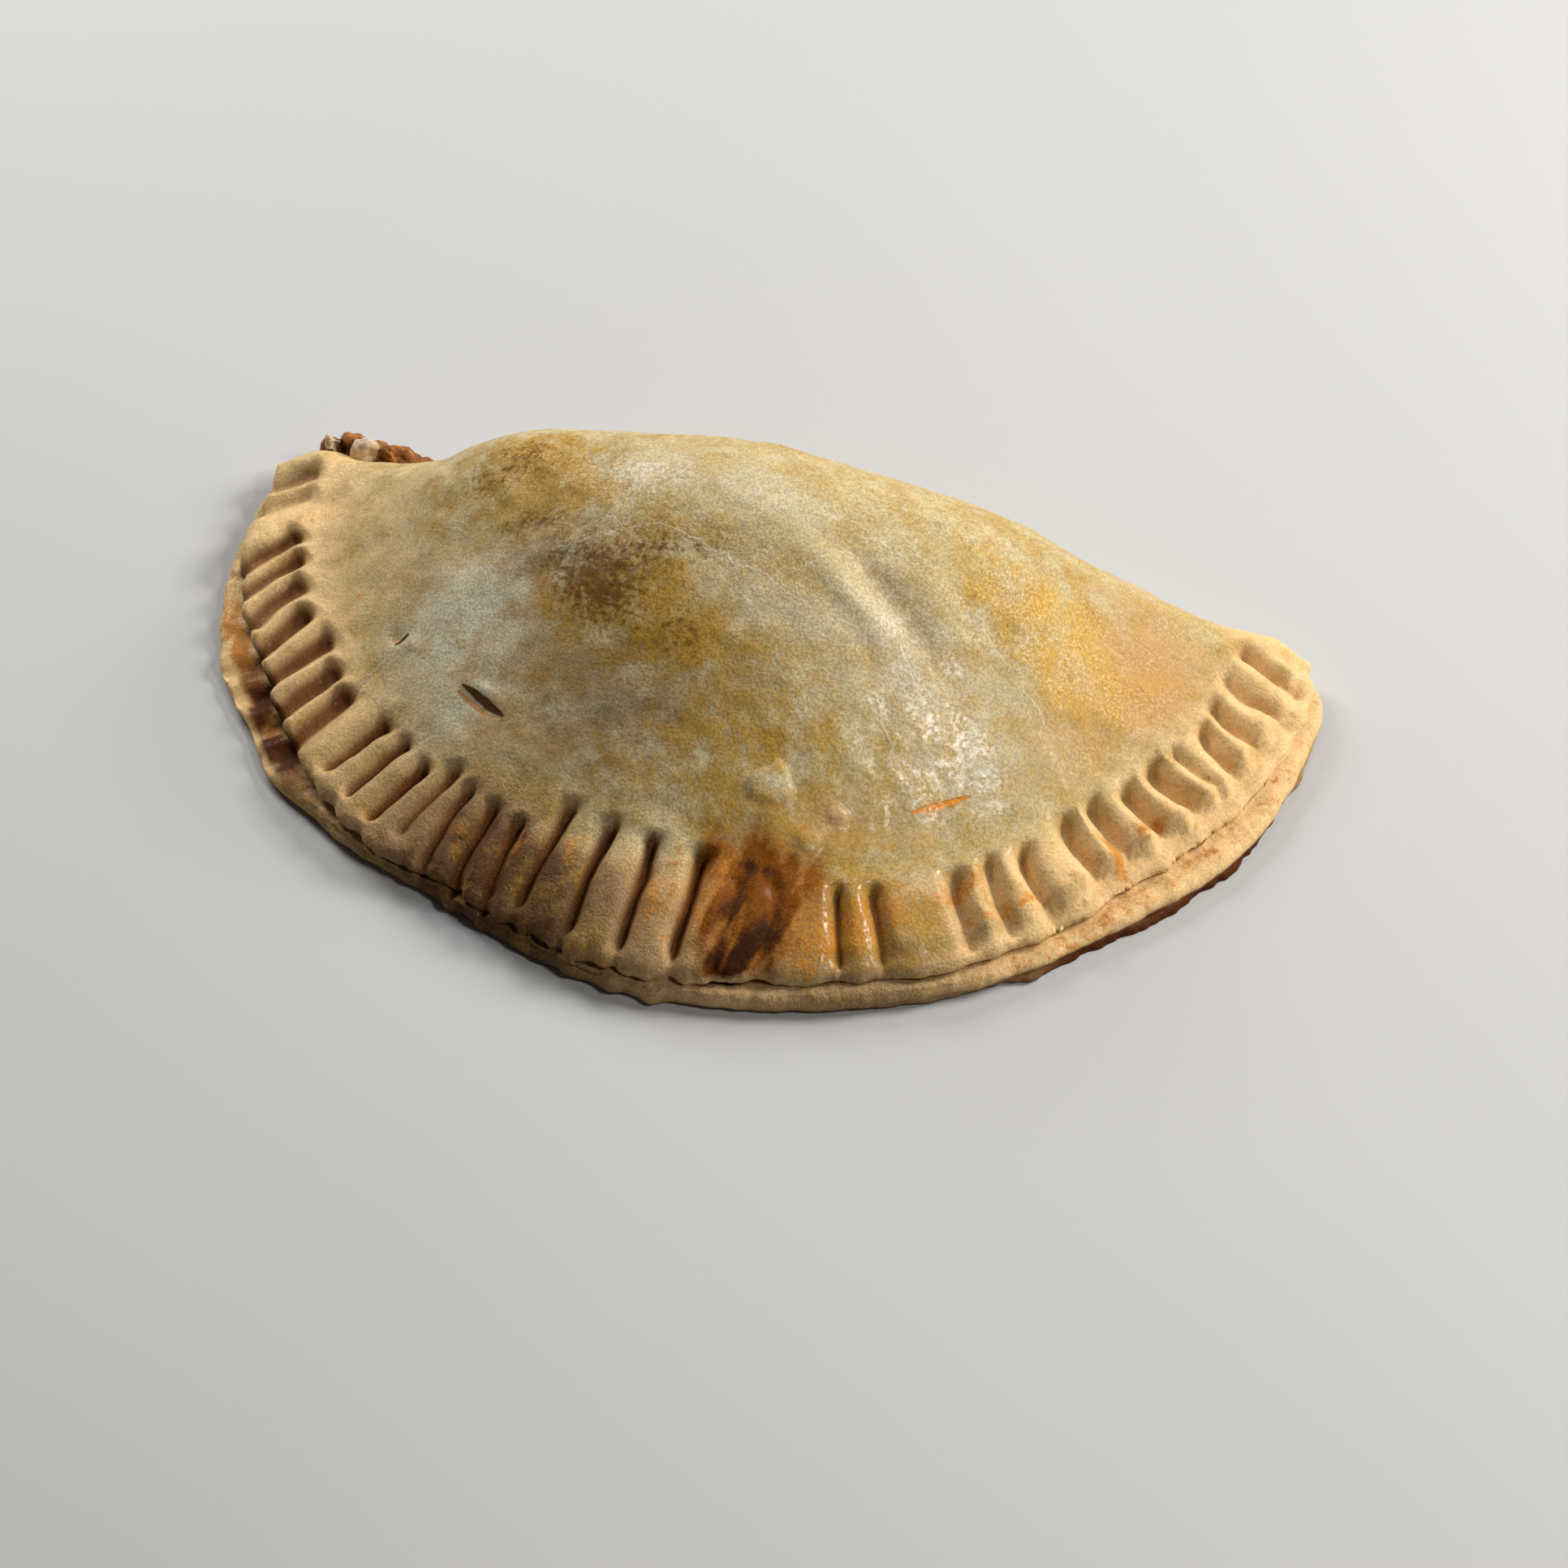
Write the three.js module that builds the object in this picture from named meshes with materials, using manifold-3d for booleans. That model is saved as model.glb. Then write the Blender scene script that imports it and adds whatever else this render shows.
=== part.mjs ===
// Empanada: a half-moon of folded pastry with a fork-crimped rim, and the filling that runs through it
// and shows where the fold has burst near the left tip.
// Millimetres, +Z up. The fold lies along X at the back, and the crimped rim curves round towards -Y.
// Plan angles are in degrees about the middle of the fold: 0 at the right tip, 90 in front, 180 at the left.
import * as THREE from 'three';
import Module from 'manifold-3d';

const wasm = await Module();
wasm.setup();

// Plan of the folded dough
const RIM_RADIUS = 82.7;
const RIM_WAVES = [
  { at: 0, width: 3.5, by: -3.0 },
  { at: 25, width: 12, by: 2.1 },
  { at: 55, width: 11, by: 0.9 },
  { at: 112, width: 14, by: -3.6 },
  { at: 180, width: 15, by: -4.2 },
];
const FOLD_STEP = 2.2;
const FOLD_STEP_SHARE = 0.04;
const FOLD_BULGE = 2.4;

// The lower sheet shows as a lip beyond the upper sheet, most of all at the left
const LIP_SHOW = 0.9;
const LIP_OVERHANGS = [
  { at: 24, width: 17, by: 1.3 },
  { at: 72, width: 16, by: 1.2 },
  { at: 146, width: 15, by: 3.6 },
];
const LIP_HEIGHT = 2.7;
const LIP_NOSE_HEIGHT = 1.4;
const LIP_ROUND = 0.8;
const LIP_UNDER_HEIGHT = 0.3;
const BASE_INSET = 2.6;

// The upper sheet's edge, and the band of rim behind it
const EDGE_HEIGHT = 5.3;
const EDGE_LIFT = { at: 148, width: 18, by: 1.1 };
const EDGE_ROUND = 1.0;
const CREASE_INSET = 0.9;
const KNEE_BEYOND_REACH = 2.6;

// The filled mound: a dome about the middle of the fold, turned down along the fold behind
const CENTRE = { x: -1, y: -30 };
const BAND_HEIGHT = 8.6;
const BAND_WIDTH = 14;
const BAND_RISE = { at: 92, width: 30, by: 3.0 };
const MOUND_RISE = 31.0;
const MOUND_FOOT = 66;
const MOUND_FOOT_LEFT = 68;
const MOUND_POWER = 2.15;
const MOUND_FLARE = 1.4;
const FOLD_POWER = 2.05;
const FOLD_FULLNESS = 2.1;
const FOLD_TURN_MIDDLE = 31.5;
const FOLD_TURN_TIP = 6;
const FOLD_FULL_RIGHT = 16;
const FOLD_FADE_RIGHT = 67;
const FOLD_FULL_LEFT = 30;
const FOLD_FADE_LEFT = 68;
const FOLD_EDGE_MIDDLE = 9.5;
const FOLD_EDGE_TIP = 3.6;
const FOLD_UNDER = 0.8;
const FOLD_TURN_SHARE = 0.86;

// Swells and hollows in the skin: the open lip of the burst, the neck and shoulder beside it, soft dents
const SWELLS = [
  { x: -68, y: 1, width: 8, by: 2.3 },
  { x: -52, y: 0, width: 8, by: -3.5 },
  { x: -38, y: -8, width: 11, by: 1.6 },
  { x: 20, y: -22, width: 9, by: -1.1 },
  { x: 40, y: -34, width: 12, by: 0.8 },
  { x: 54, y: -4, width: 14, by: -1.7 },
];

// Fork presses round the rim: the plan angle of their middle, tines that left a mark, the tines' spacing,
// the slant of the marks from straight out, where they start and end in from the edge, and their depth
const FORK_PRESSES = [
  { at: 1.5, tines: 1, pitch: 4.0, lean: 21, from: 0.5, to: 5.0, depth: 0.9 },
  { at: 12.5, tines: 4, pitch: 4.55, lean: 21, from: 2.4, to: 14.0, depth: 1.9 },
  { at: 23.0, tines: 1, pitch: 4.0, lean: 0, from: 5.0, to: 14.5, depth: 0.7 },
  { at: 33.2, tines: 4, pitch: 4.15, lean: 4, from: 2.4, to: 15.0, depth: 1.8 },
  { at: 51.2, tines: 3, pitch: 4.4, lean: 6, from: 2.8, to: 14.0, depth: 1.4 },
  { at: 67.0, tines: 2, pitch: 4.1, lean: 4, from: 0.0, to: 12.9, depth: 1.7 },
  { at: 78.8, tines: 2, pitch: 4.4, lean: 8, from: 1.0, to: 14.0, depth: 0.9 },
  { at: 94.0, tines: 4, pitch: 5.7, lean: 3, from: 0.3, to: 17.7, depth: 2.1 },
  { at: 111.1, tines: 3, pitch: 4.25, lean: -9, from: -0.5, to: 13.8, depth: 1.8 },
  { at: 125.3, tines: 4, pitch: 4.2, lean: -2, from: 1.2, to: 14.7, depth: 1.6 },
  { at: 142.3, tines: 3, pitch: 4.7, lean: -17, from: 0.3, to: 10.3, depth: 2.0 },
  { at: 158.5, tines: 4, pitch: 4.1, lean: -31, from: 1.0, to: 8.4, depth: 1.7 },
  { at: 174.2, tines: 2, pitch: 4.0, lean: -20, from: 0.3, to: 7.6, depth: 1.6 },
];
const TINE_HALF_WIDTH = 1.35;
const TINE_END = 1.7;
const TINE_RUN_IN = 0.4;
const SCALLOP = 0.6;
const PRESS_SPREAD = 8;
const TIP_TURN = 26;
const TIP_CLOSE = 4;

// Steam slits cut part of the way into the skin, each from one place in plan to another
const SLITS = [
  { from: [-34.1, -45.8], to: [-26.7, -50.3], halfWidth: 0.6 },
  { from: [32.7, -50.3], to: [38.5, -45.8], halfWidth: 0.4 },
];
const SLIT_DEPTH = 2.0;

// The filling: its core lies inside the skin, and a tongue runs out at the burst as a row of lumps
const SKIN = 3.6;
const FLOOR = 3.2;
const CLEARANCE = 0.35;
const CORE_REACH_RIM = 0.9;
const CORE_REACH_FOLD = 0.86;
const CORE_REACH_TIP = 0.72;
const CORE_TIP_FROM = 35;
const CORE_TIP_RUN = 25;
const CORE_EDGE = 1.5;
const TONGUE_ROOT = { x: -42, y: -18, halfWidth: 6 };
const TONGUE_MOUTH = { x: -64, y: 4.5, halfWidth: 5.5 };
const TONGUE_STEPS = [0, 0.3, 0.55, 0.8, 1];
const TONGUE_SKIN = 2.0;
const TONGUE_FLOOR = 2.3;
const TONGUE_DEPTH = 1.8;
const LUMP_COUNT = 11;
const LUMP_ROW = { fromX: -70.8, toX: -57.0, y: 3.7, fromZ: 5.3, toZ: 4.2 };
const LUMP_RADIUS = 2.1;
const LUMP_SEED = 7;

const PASTRY_LOOK = { color: 0xd8b27a, roughness: 0.55, metalness: 0 };
const FILLING_LOOK = { color: 0x8a4a22, roughness: 0.45, metalness: 0 };

// Mesh steps
const COLUMN_OFFSETS = [-0.5, -0.27, -0.1, 0.1, 0.27];
const COLUMN_GAP_MIN = 0.45;
const COLUMN_GAP_MAX = 1.7;
const COLUMN_GAP_TIP = 0.75;
const COLUMN_TIP_ZONE = 12;
const COLUMN_LEAN = 0.55;
const RIM_STEPS = [1.0, 0.91, 0.83, 0.74, 0.62, 0.48, 0.34, 0.2, 0.09];
const DOME_STEPS = [0.1, 0.22, 0.34, 0.46, 0.57, 0.67, 0.76, 0.84, 0.91, 0.96];
const DOME_COLUMN_STEP = 3;
const FOLD_COLUMNS = 30;
const EDGE_RINGS = 6;
const BASE_STEPS = [0.7, 0.35];
const CORE_RIM_COLUMNS = 18;
const CORE_FOLD_COLUMNS = 12;
const CORE_STEPS = [0.25, 0.5, 0.72, 0.88, 1.0];
const TONGUE_SIDES = 16;

const radians = (degrees) => degrees * Math.PI / 180;
const mix = (from, to, share) => from + (to - from) * share;
const bump = (value, wave) => wave.by * Math.exp(-(((value - wave.at) / wave.width) ** 2));

// Eased step from 0 to 1
function ease(share) {
  const t = Math.min(Math.max(share, 0), 1);
  return t * t * (3 - 2 * t);
}

// Repeatable draw between 0 and 1
function draw(seed, index) {
  const wave = Math.sin(seed * 12.9898 + index * 78.233) * 43758.5453;
  return wave - Math.floor(wave);
}

// Outer edge of the lower sheet, and of the upper sheet that lies on it
const lipRadius = (angle) => RIM_WAVES.reduce((sum, wave) => sum + bump(angle, wave), RIM_RADIUS);

const lipShow = (angle) => LIP_OVERHANGS.reduce((sum, wave) => sum + bump(angle, wave), LIP_SHOW);

const sheetRadius = (angle) => lipRadius(angle) - lipShow(angle);

const rimPoint = (angle, radius) => [radius * Math.cos(radians(angle)), -radius * Math.sin(radians(angle))];

// One mark for each tine of each press, with a little unevenness: its outer end, heading in, length and depth
function tineMarks() {
  const marks = [];
  FORK_PRESSES.forEach((press, number) => {
    for (let tine = 0; tine < press.tines; tine += 1) {
      const uneven = draw(number + 1, tine) - 0.5;
      const angle = press.at + (tine - (press.tines - 1) / 2) * press.pitch + uneven * 0.5;
      const slant = Math.tan(radians(press.lean)) / RIM_RADIUS;
      const half = (press.from + press.to) / 2;
      const edgeAngle = angle + half * slant * 180 / Math.PI;
      const outward = rimPoint(angle + press.lean, 1);
      const shift = press.from / Math.cos(radians(press.lean));
      const edge = rimPoint(edgeAngle, sheetRadius(edgeAngle));
      marks.push({
        edgeAngle,
        pitch: press.pitch,
        start: [edge[0] - outward[0] * shift, edge[1] - outward[1] * shift],
        inward: [-outward[0], -outward[1]],
        length: (press.to - press.from) / Math.cos(radians(press.lean)) * (1 + 0.12 * uneven),
        depth: press.depth * (1 - 0.35 * uneven),
      });
    }
  });
  return marks;
}

const MARKS = tineMarks();

// A press value carried smoothly round the rim
function pressValue(angle, key) {
  let total = 0;
  let weights = 0;
  for (const press of FORK_PRESSES) {
    const weight = Math.exp(-(((angle - press.at) / PRESS_SPREAD) ** 2)) + 1e-9;
    total += weight * press[key];
    weights += weight;
  }
  return total / weights;
}

// How strongly the edge is drawn in where a tine mark runs out to it
function markShare(angle) {
  let share = 0;
  for (const mark of MARKS) {
    const off = radians(angle - mark.edgeAngle) * RIM_RADIUS;
    share = Math.max(share, Math.exp(-((off / TINE_HALF_WIDTH) ** 2)));
  }
  return share;
}

const topRadius = (angle) => sheetRadius(angle) - SCALLOP * markShare(angle);

const rimWidth = (angle) => pressValue(angle, 'to') + KNEE_BEYOND_REACH;
const edgeHeight = (angle) => EDGE_HEIGHT + bump(angle, EDGE_LIFT);

// Depth of the fork marks at a place on the rim
function markDepth(x, y) {
  let deepest = 0;
  for (const mark of MARKS) {
    const offX = x - mark.start[0];
    const offY = y - mark.start[1];
    const along = offX * mark.inward[0] + offY * mark.inward[1];
    const aside = offX * mark.inward[1] - offY * mark.inward[0];
    const across = Math.exp(-((aside / TINE_HALF_WIDTH) ** 2));
    const outer = ease(along / (TINE_RUN_IN * mark.length));
    const inner = 1 - ease((along - mark.length + TINE_END) / TINE_END);
    deepest = Math.max(deepest, mark.depth * across * outer * inner);
  }
  return deepest;
}

const swellAt = (x, y) => SWELLS.reduce((sum, swell) => {
  const off = ((x - swell.x) ** 2 + (y - swell.y) ** 2) / swell.width ** 2;
  return sum + swell.by * Math.exp(-off);
}, 0);

// The back of the fold in plan
function foldY(x) {
  const left = -sheetRadius(180);
  const share = Math.min(Math.max((x - left) / (sheetRadius(0) - left), 0), 1);
  const step = ease(Math.min(share, 1 - share) / FOLD_STEP_SHARE);
  return FOLD_STEP * step + FOLD_BULGE * (1 - (2 * share - 1) ** 2);
}

// How full the fold is: 1 behind the mound, 0 at the tips
function foldFullness(x) {
  const right = 1 - ease((x - FOLD_FULL_RIGHT) / (FOLD_FADE_RIGHT - FOLD_FULL_RIGHT));
  const left = 1 - ease((-x - FOLD_FULL_LEFT) / (FOLD_FADE_LEFT - FOLD_FULL_LEFT));
  return right * left;
}

const foldEdgeHeight = (x) => mix(FOLD_EDGE_TIP, FOLD_EDGE_MIDDLE, foldFullness(x));

// Height of the smooth skin over the base, before the fork marks
function skinHeight(x, y) {
  const radius = Math.hypot(x, y);
  const angle = Math.min(Math.max(Math.atan2(Math.max(-y, 0), x) * 180 / Math.PI, 0), 180);
  const sideways = Math.min(x, 0) / Math.max(radius, 1);
  const foot = mix(MOUND_FOOT, MOUND_FOOT_LEFT, sideways ** 2);
  const dome = Math.max(1 - (radius / foot) ** MOUND_POWER, 0) ** MOUND_FLARE;
  const inset = Math.max(topRadius(angle) - radius, 0);
  const inner = BAND_HEIGHT + bump(angle, BAND_RISE) * Math.min(radius / foot, 1) ** 2;
  const band = mix(edgeHeight(angle), inner, Math.tanh(1.2 * inset / BAND_WIDTH) / Math.tanh(1.2));
  const turn = mix(FOLD_TURN_TIP, FOLD_TURN_MIDDLE, foldFullness(x));
  const behind = Math.min(Math.max((foldY(x) - y) / turn, 0), 1);
  const fold = (1 - (1 - behind) ** FOLD_POWER) ** (1 / FOLD_FULLNESS);
  return mix(foldEdgeHeight(x), band + MOUND_RISE * dome, fold) + swellAt(x, y);
}

// A station is one ray of the form, from the centre out to the rim or the fold
function rimStation(angle) {
  const edge = rimPoint(angle, topRadius(angle));
  const turn = 1 - ease(Math.min(angle, 180 - angle) / TIP_TURN);
  const toFold = Math.atan2(-edge[1], -edge[0]);
  const toCentre = Math.atan2(CENTRE.y - edge[1], CENTRE.x - edge[0]);
  const swing = Math.atan2(Math.sin(toCentre - toFold), Math.cos(toCentre - toFold));
  const heading = toFold + swing * turn - radians(COLUMN_LEAN * pressValue(angle, 'lean')) * (1 - turn);
  const inward = [Math.cos(heading), Math.sin(heading)];
  const width = rimWidth(angle);
  return {
    order: angle / 360,
    fold: false,
    angle,
    edge,
    inward,
    knee: [edge[0] + inward[0] * width, edge[1] + inward[1] * width],
  };
}

function foldStation(share) {
  const x = mix(-sheetRadius(180), sheetRadius(0), share);
  const edge = [x, foldY(x)];
  const off = Math.hypot(CENTRE.x - edge[0], CENTRE.y - edge[1]);
  return {
    order: 0.5 + share / 2,
    fold: true,
    fromTip: Math.min(share, 1 - share),
    edge,
    inward: [(CENTRE.x - edge[0]) / off, (CENTRE.y - edge[1]) / off],
    knee: [mix(CENTRE.x, edge[0], FOLD_TURN_SHARE), mix(CENTRE.y, edge[1], FOLD_TURN_SHARE)],
  };
}

const surfacePoint = (x, y) => [x, y, skinHeight(x, y) - markDepth(x, y)];

// Point of the skin between the centre (0) and the foot of the mound (1)
function domePoint(station, share) {
  return surfacePoint(mix(CENTRE.x, station.knee[0], share), mix(CENTRE.y, station.knee[1], share));
}

// Point of the rim band or of the turn of the fold: 1 at its inner end, 0 at the edge
function bandPoint(station, share) {
  const [x, y] = [0, 1].map((axis) => mix(station.edge[axis], station.knee[axis], share));
  return surfacePoint(x, y);
}

// The lower half of a rounded edge, as the fold has it
function roundEdgePoint(station, ring, under) {
  const turn = radians(90 * ring / (EDGE_RINGS - 1));
  const top = skinHeight(station.edge[0], station.edge[1]);
  const back = under * (1 - Math.cos(turn));
  return [
    station.edge[0] + station.inward[0] * back,
    station.edge[1] + station.inward[1] * back,
    top * (1 - Math.sin(turn)),
  ];
}

// The fold's edge curls under more behind the mound than at the tips
function foldEdgePoint(station, ring) {
  const under = FOLD_UNDER * skinHeight(station.edge[0], station.edge[1]);
  return roundEdgePoint(station, ring, mix(BASE_INSET, under, ease(station.fromTip / FOLD_STEP_SHARE)));
}

// The upper sheet's rounded edge, the crease below it, and the lower sheet's lip, closing up at the tips
function rimEdgePoint(station, ring) {
  const angle = station.angle;
  const upper = topRadius(angle);
  const lip = lipRadius(angle);
  const profile = [
    [upper, edgeHeight(angle) - EDGE_ROUND],
    [upper - CREASE_INSET, LIP_HEIGHT + 0.3],
    [lip - LIP_ROUND, LIP_HEIGHT],
    [lip, LIP_NOSE_HEIGHT],
    [lip - LIP_ROUND, LIP_UNDER_HEIGHT],
    [lip - BASE_INSET, 0],
  ];
  const [radius, z] = profile[ring];
  const open = [...rimPoint(angle, radius), z];
  const shut = roundEdgePoint(station, ring, BASE_INSET);
  const closed = ease(Math.min(angle, 180 - angle) / TIP_CLOSE);
  return open.map((value, axis) => mix(shut[axis], value, closed));
}

const edgePoint = (station, ring) => (station.fold ? foldEdgePoint : rimEdgePoint)(station, ring);

// Columns close to each tine mark, with wide gaps filled in
function rimAngles() {
  const wanted = [0, 180];
  for (const mark of MARKS) {
    for (const offset of [...COLUMN_OFFSETS, 0.5]) {
      wanted.push(mark.edgeAngle + offset * mark.pitch);
    }
  }
  const sorted = wanted.filter((angle) => angle >= 0 && angle <= 180).sort((a, b) => a - b);
  const angles = [sorted[0]];
  for (const angle of sorted.slice(1)) {
    const last = angles[angles.length - 1];
    const gap = angle - last;
    if (gap < COLUMN_GAP_MIN) {
      continue;
    }
    const nearTip = Math.min(angle, 180 - angle) < COLUMN_TIP_ZONE;
    const extra = Math.ceil(gap / (nearTip ? COLUMN_GAP_TIP : COLUMN_GAP_MAX));
    for (let step = 1; step <= extra; step += 1) {
      angles.push(last + gap * step / extra);
    }
  }
  return angles;
}

// A closed skin through rings of stations, sewn ring to ring, with a point at each end
class Loft {
  constructor() {
    this.points = [];
    this.faces = [];
    this.last = null;
  }

  addPoint(point) {
    this.points.push(...point);
    return this.points.length / 3 - 1;
  }

  start(point) {
    this.last = { tip: this.addPoint(point) };
  }

  ring(stations, place) {
    const next = stations.map((station) => ({ order: station.order, index: this.addPoint(place(station)) }));
    if (this.last.tip === undefined) {
      this.sew(this.last.ring, next);
    } else {
      this.fan(this.last.tip, next, false);
    }
    this.last = { ring: next };
  }

  finish(point) {
    this.fan(this.addPoint(point), this.last.ring, true);
  }

  fan(tip, ring, flip) {
    ring.forEach((item, number) => {
      const after = ring[(number + 1) % ring.length];
      this.faces.push(...(flip ? [tip, after.index, item.index] : [tip, item.index, after.index]));
    });
  }

  sew(inner, outer) {
    let i = 0;
    let o = 0;
    while (i < inner.length || o < outer.length) {
      const innerNext = i < inner.length ? (inner[i + 1]?.order ?? 1 + inner[0].order) : Infinity;
      const outerNext = o < outer.length ? (outer[o + 1]?.order ?? 1 + outer[0].order) : Infinity;
      const a = inner[i % inner.length].index;
      const b = outer[o % outer.length].index;
      if (outerNext <= innerNext) {
        o += 1;
        this.faces.push(a, b, outer[o % outer.length].index);
      } else {
        i += 1;
        this.faces.push(a, b, inner[i % inner.length].index);
      }
    }
  }

  solid() {
    const turned = [];
    for (let face = 0; face < this.faces.length; face += 3) {
      turned.push(this.faces[face], this.faces[face + 2], this.faces[face + 1]);
    }
    const mesh = new wasm.Mesh({
      numProp: 3,
      vertProperties: new Float32Array(this.points),
      triVerts: new Uint32Array(turned),
    });
    return new wasm.Manifold(mesh);
  }
}

// Stations along the fold, closer together towards the tips
function foldStations(count) {
  return Array.from({ length: count }, (unused, number) => {
    const even = (number + 1) / (count + 1);
    return foldStation(mix(even, 0.5 - 0.5 * Math.cos(Math.PI * even), 0.6));
  });
}

// The whole outside of the folded dough, without its slits and its hollow
function pastryBody() {
  const angles = rimAngles();
  const folds = foldStations(FOLD_COLUMNS);
  const fine = [...angles.map(rimStation), ...folds];
  const coarse = fine.filter((station, number) => station.fold || number % DOME_COLUMN_STEP === 0);
  const loft = new Loft();
  loft.start([CENTRE.x, CENTRE.y, skinHeight(CENTRE.x, CENTRE.y)]);
  for (const share of DOME_STEPS) {
    loft.ring(coarse, (station) => domePoint(station, share));
  }
  for (const share of RIM_STEPS) {
    loft.ring(fine, (station) => bandPoint(station, share));
  }
  for (let ring = 0; ring < EDGE_RINGS; ring += 1) {
    loft.ring(fine, (station) => edgePoint(station, ring));
  }
  for (const share of BASE_STEPS) {
    loft.ring(coarse, (station) => {
      const [x, y] = edgePoint(station, EDGE_RINGS - 1);
      return [mix(CENTRE.x, x, share), mix(CENTRE.y, y, share), 0];
    });
  }
  loft.finish([CENTRE.x, CENTRE.y, 0]);
  return loft.solid();
}

// A three.js geometry as a solid for joining and cutting
function solidFrom(geometry) {
  const bare = geometry.index ? geometry.toNonIndexed() : geometry;
  const positions = bare.getAttribute('position');
  const mesh = new wasm.Mesh({
    numProp: 3,
    vertProperties: new Float32Array(positions.array),
    triVerts: Uint32Array.from({ length: positions.count }, (unused, number) => number),
  });
  mesh.merge();
  return new wasm.Manifold(mesh);
}

// Outward direction of the smooth skin
function skinNormal(x, y) {
  const slopeX = skinHeight(x + 0.5, y) - skinHeight(x - 0.5, y);
  const slopeY = skinHeight(x, y + 0.5) - skinHeight(x, y - 0.5);
  return new THREE.Vector3(-slopeX, -slopeY, 1).normalize();
}

// A narrow lens sunk into the skin between the slit's two ends
function slitCutter(slit) {
  const start = new THREE.Vector3(...surfacePoint(...slit.from));
  const end = new THREE.Vector3(...surfacePoint(...slit.to));
  const middle = new THREE.Vector3().lerpVectors(start, end, 0.5);
  const along = end.clone().sub(start).normalize();
  const side = skinNormal(middle.x, middle.y).cross(along).normalize();
  const outward = along.clone().cross(side);
  const lens = new THREE.SphereGeometry(1, 10, 6);
  lens.scale(start.distanceTo(end) / 2, slit.halfWidth, SLIT_DEPTH);
  lens.applyMatrix4(new THREE.Matrix4().makeBasis(along, side, outward).setPosition(middle));
  return solidFrom(lens);
}

// The filling's core, drawn in from the skin by the given clearance
function fillingCore(clearance) {
  const angles = Array.from({ length: CORE_RIM_COLUMNS + 1 }, (unused, n) => 180 * n / CORE_RIM_COLUMNS);
  const stations = [...angles.map(rimStation), ...foldStations(CORE_FOLD_COLUMNS)];
  const reachOf = (station) => {
    const towardsTip = ease((Math.abs(station.knee[0]) - CORE_TIP_FROM) / CORE_TIP_RUN);
    const reach = station.fold ? CORE_REACH_FOLD : CORE_REACH_RIM;
    const span = Math.hypot(station.knee[0] - CENTRE.x, station.knee[1] - CENTRE.y);
    return mix(reach, CORE_REACH_TIP, towardsTip) - clearance / span;
  };
  const topPoint = (station, share) => {
    const [x, y, z] = domePoint(station, share * reachOf(station));
    return [x, y, Math.max(z - SKIN, FLOOR + CORE_EDGE) - clearance];
  };
  const loft = new Loft();
  loft.start([CENTRE.x, CENTRE.y, skinHeight(CENTRE.x, CENTRE.y) - SKIN - clearance]);
  for (const share of CORE_STEPS) {
    loft.ring(stations, (station) => topPoint(station, share));
  }
  loft.ring(stations, (station) => {
    const [x, y] = topPoint(station, 1);
    return [x, y, FLOOR + clearance];
  });
  loft.finish([CENTRE.x, CENTRE.y, FLOOR + clearance]);
  return loft.solid();
}

// The tongue of filling that runs from the core, under the skin, out through the burst fold
function fillingTongue(clearance) {
  const sides = Array.from({ length: TONGUE_SIDES }, (unused, number) => ({ order: number / TONGUE_SIDES }));
  const sections = TONGUE_STEPS.map((share) => {
    const x = mix(TONGUE_ROOT.x, TONGUE_MOUTH.x, share);
    const y = mix(TONGUE_ROOT.y, TONGUE_MOUTH.y, share);
    const depth = Math.max(skinHeight(x, y) - TONGUE_SKIN - TONGUE_FLOOR, TONGUE_DEPTH);
    return {
      middle: [x, y, TONGUE_FLOOR + depth / 2],
      halfWidth: mix(TONGUE_ROOT.halfWidth, TONGUE_MOUTH.halfWidth, share) - clearance,
      halfDepth: depth / 2 - clearance,
    };
  });
  const loft = new Loft();
  loft.start(sections[0].middle);
  for (const { middle, halfWidth, halfDepth } of sections) {
    loft.ring(sides, (side) => {
      const turn = 2 * Math.PI * side.order;
      return [middle[0] + halfWidth * Math.cos(turn), middle[1], middle[2] - halfDepth * Math.sin(turn)];
    });
  }
  loft.finish(sections[sections.length - 1].middle);
  return loft.solid();
}

// The row of uneven lumps that has been pushed out at the burst
function fillingLumps(growth) {
  const lumps = [];
  for (let number = 0; number < LUMP_COUNT; number += 1) {
    const jitter = (axis) => draw(LUMP_SEED + axis, number) - 0.5;
    const ball = new THREE.IcosahedronGeometry(1, 1);
    const half = (axis) => LUMP_RADIUS * (1 + 0.7 * jitter(axis)) + growth;
    ball.scale(half(0), half(1), half(2));
    ball.rotateZ(Math.PI * jitter(3));
    const share = number / (LUMP_COUNT - 1);
    const x = mix(LUMP_ROW.fromX, LUMP_ROW.toX, share) + jitter(4);
    const z = mix(LUMP_ROW.fromZ, LUMP_ROW.toZ, share) + 1.8 * jitter(6);
    ball.translate(x, LUMP_ROW.y + 1.6 * jitter(5), z);
    lumps.push(solidFrom(ball));
  }
  return lumps;
}

const joined = (solids) => solids.reduce((whole, solid) => whole.add(solid));

function meshOf(name, solid, look) {
  const { vertProperties, triVerts } = solid.getMesh();
  const geometry = new THREE.BufferGeometry();
  geometry.setAttribute('position', new THREE.BufferAttribute(new Float32Array(vertProperties), 3));
  geometry.setIndex(new THREE.BufferAttribute(new Uint32Array(triVerts), 1));
  geometry.computeVertexNormals();
  const mesh = new THREE.Mesh(geometry, new THREE.MeshStandardMaterial(look));
  mesh.name = name;
  return mesh;
}

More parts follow.
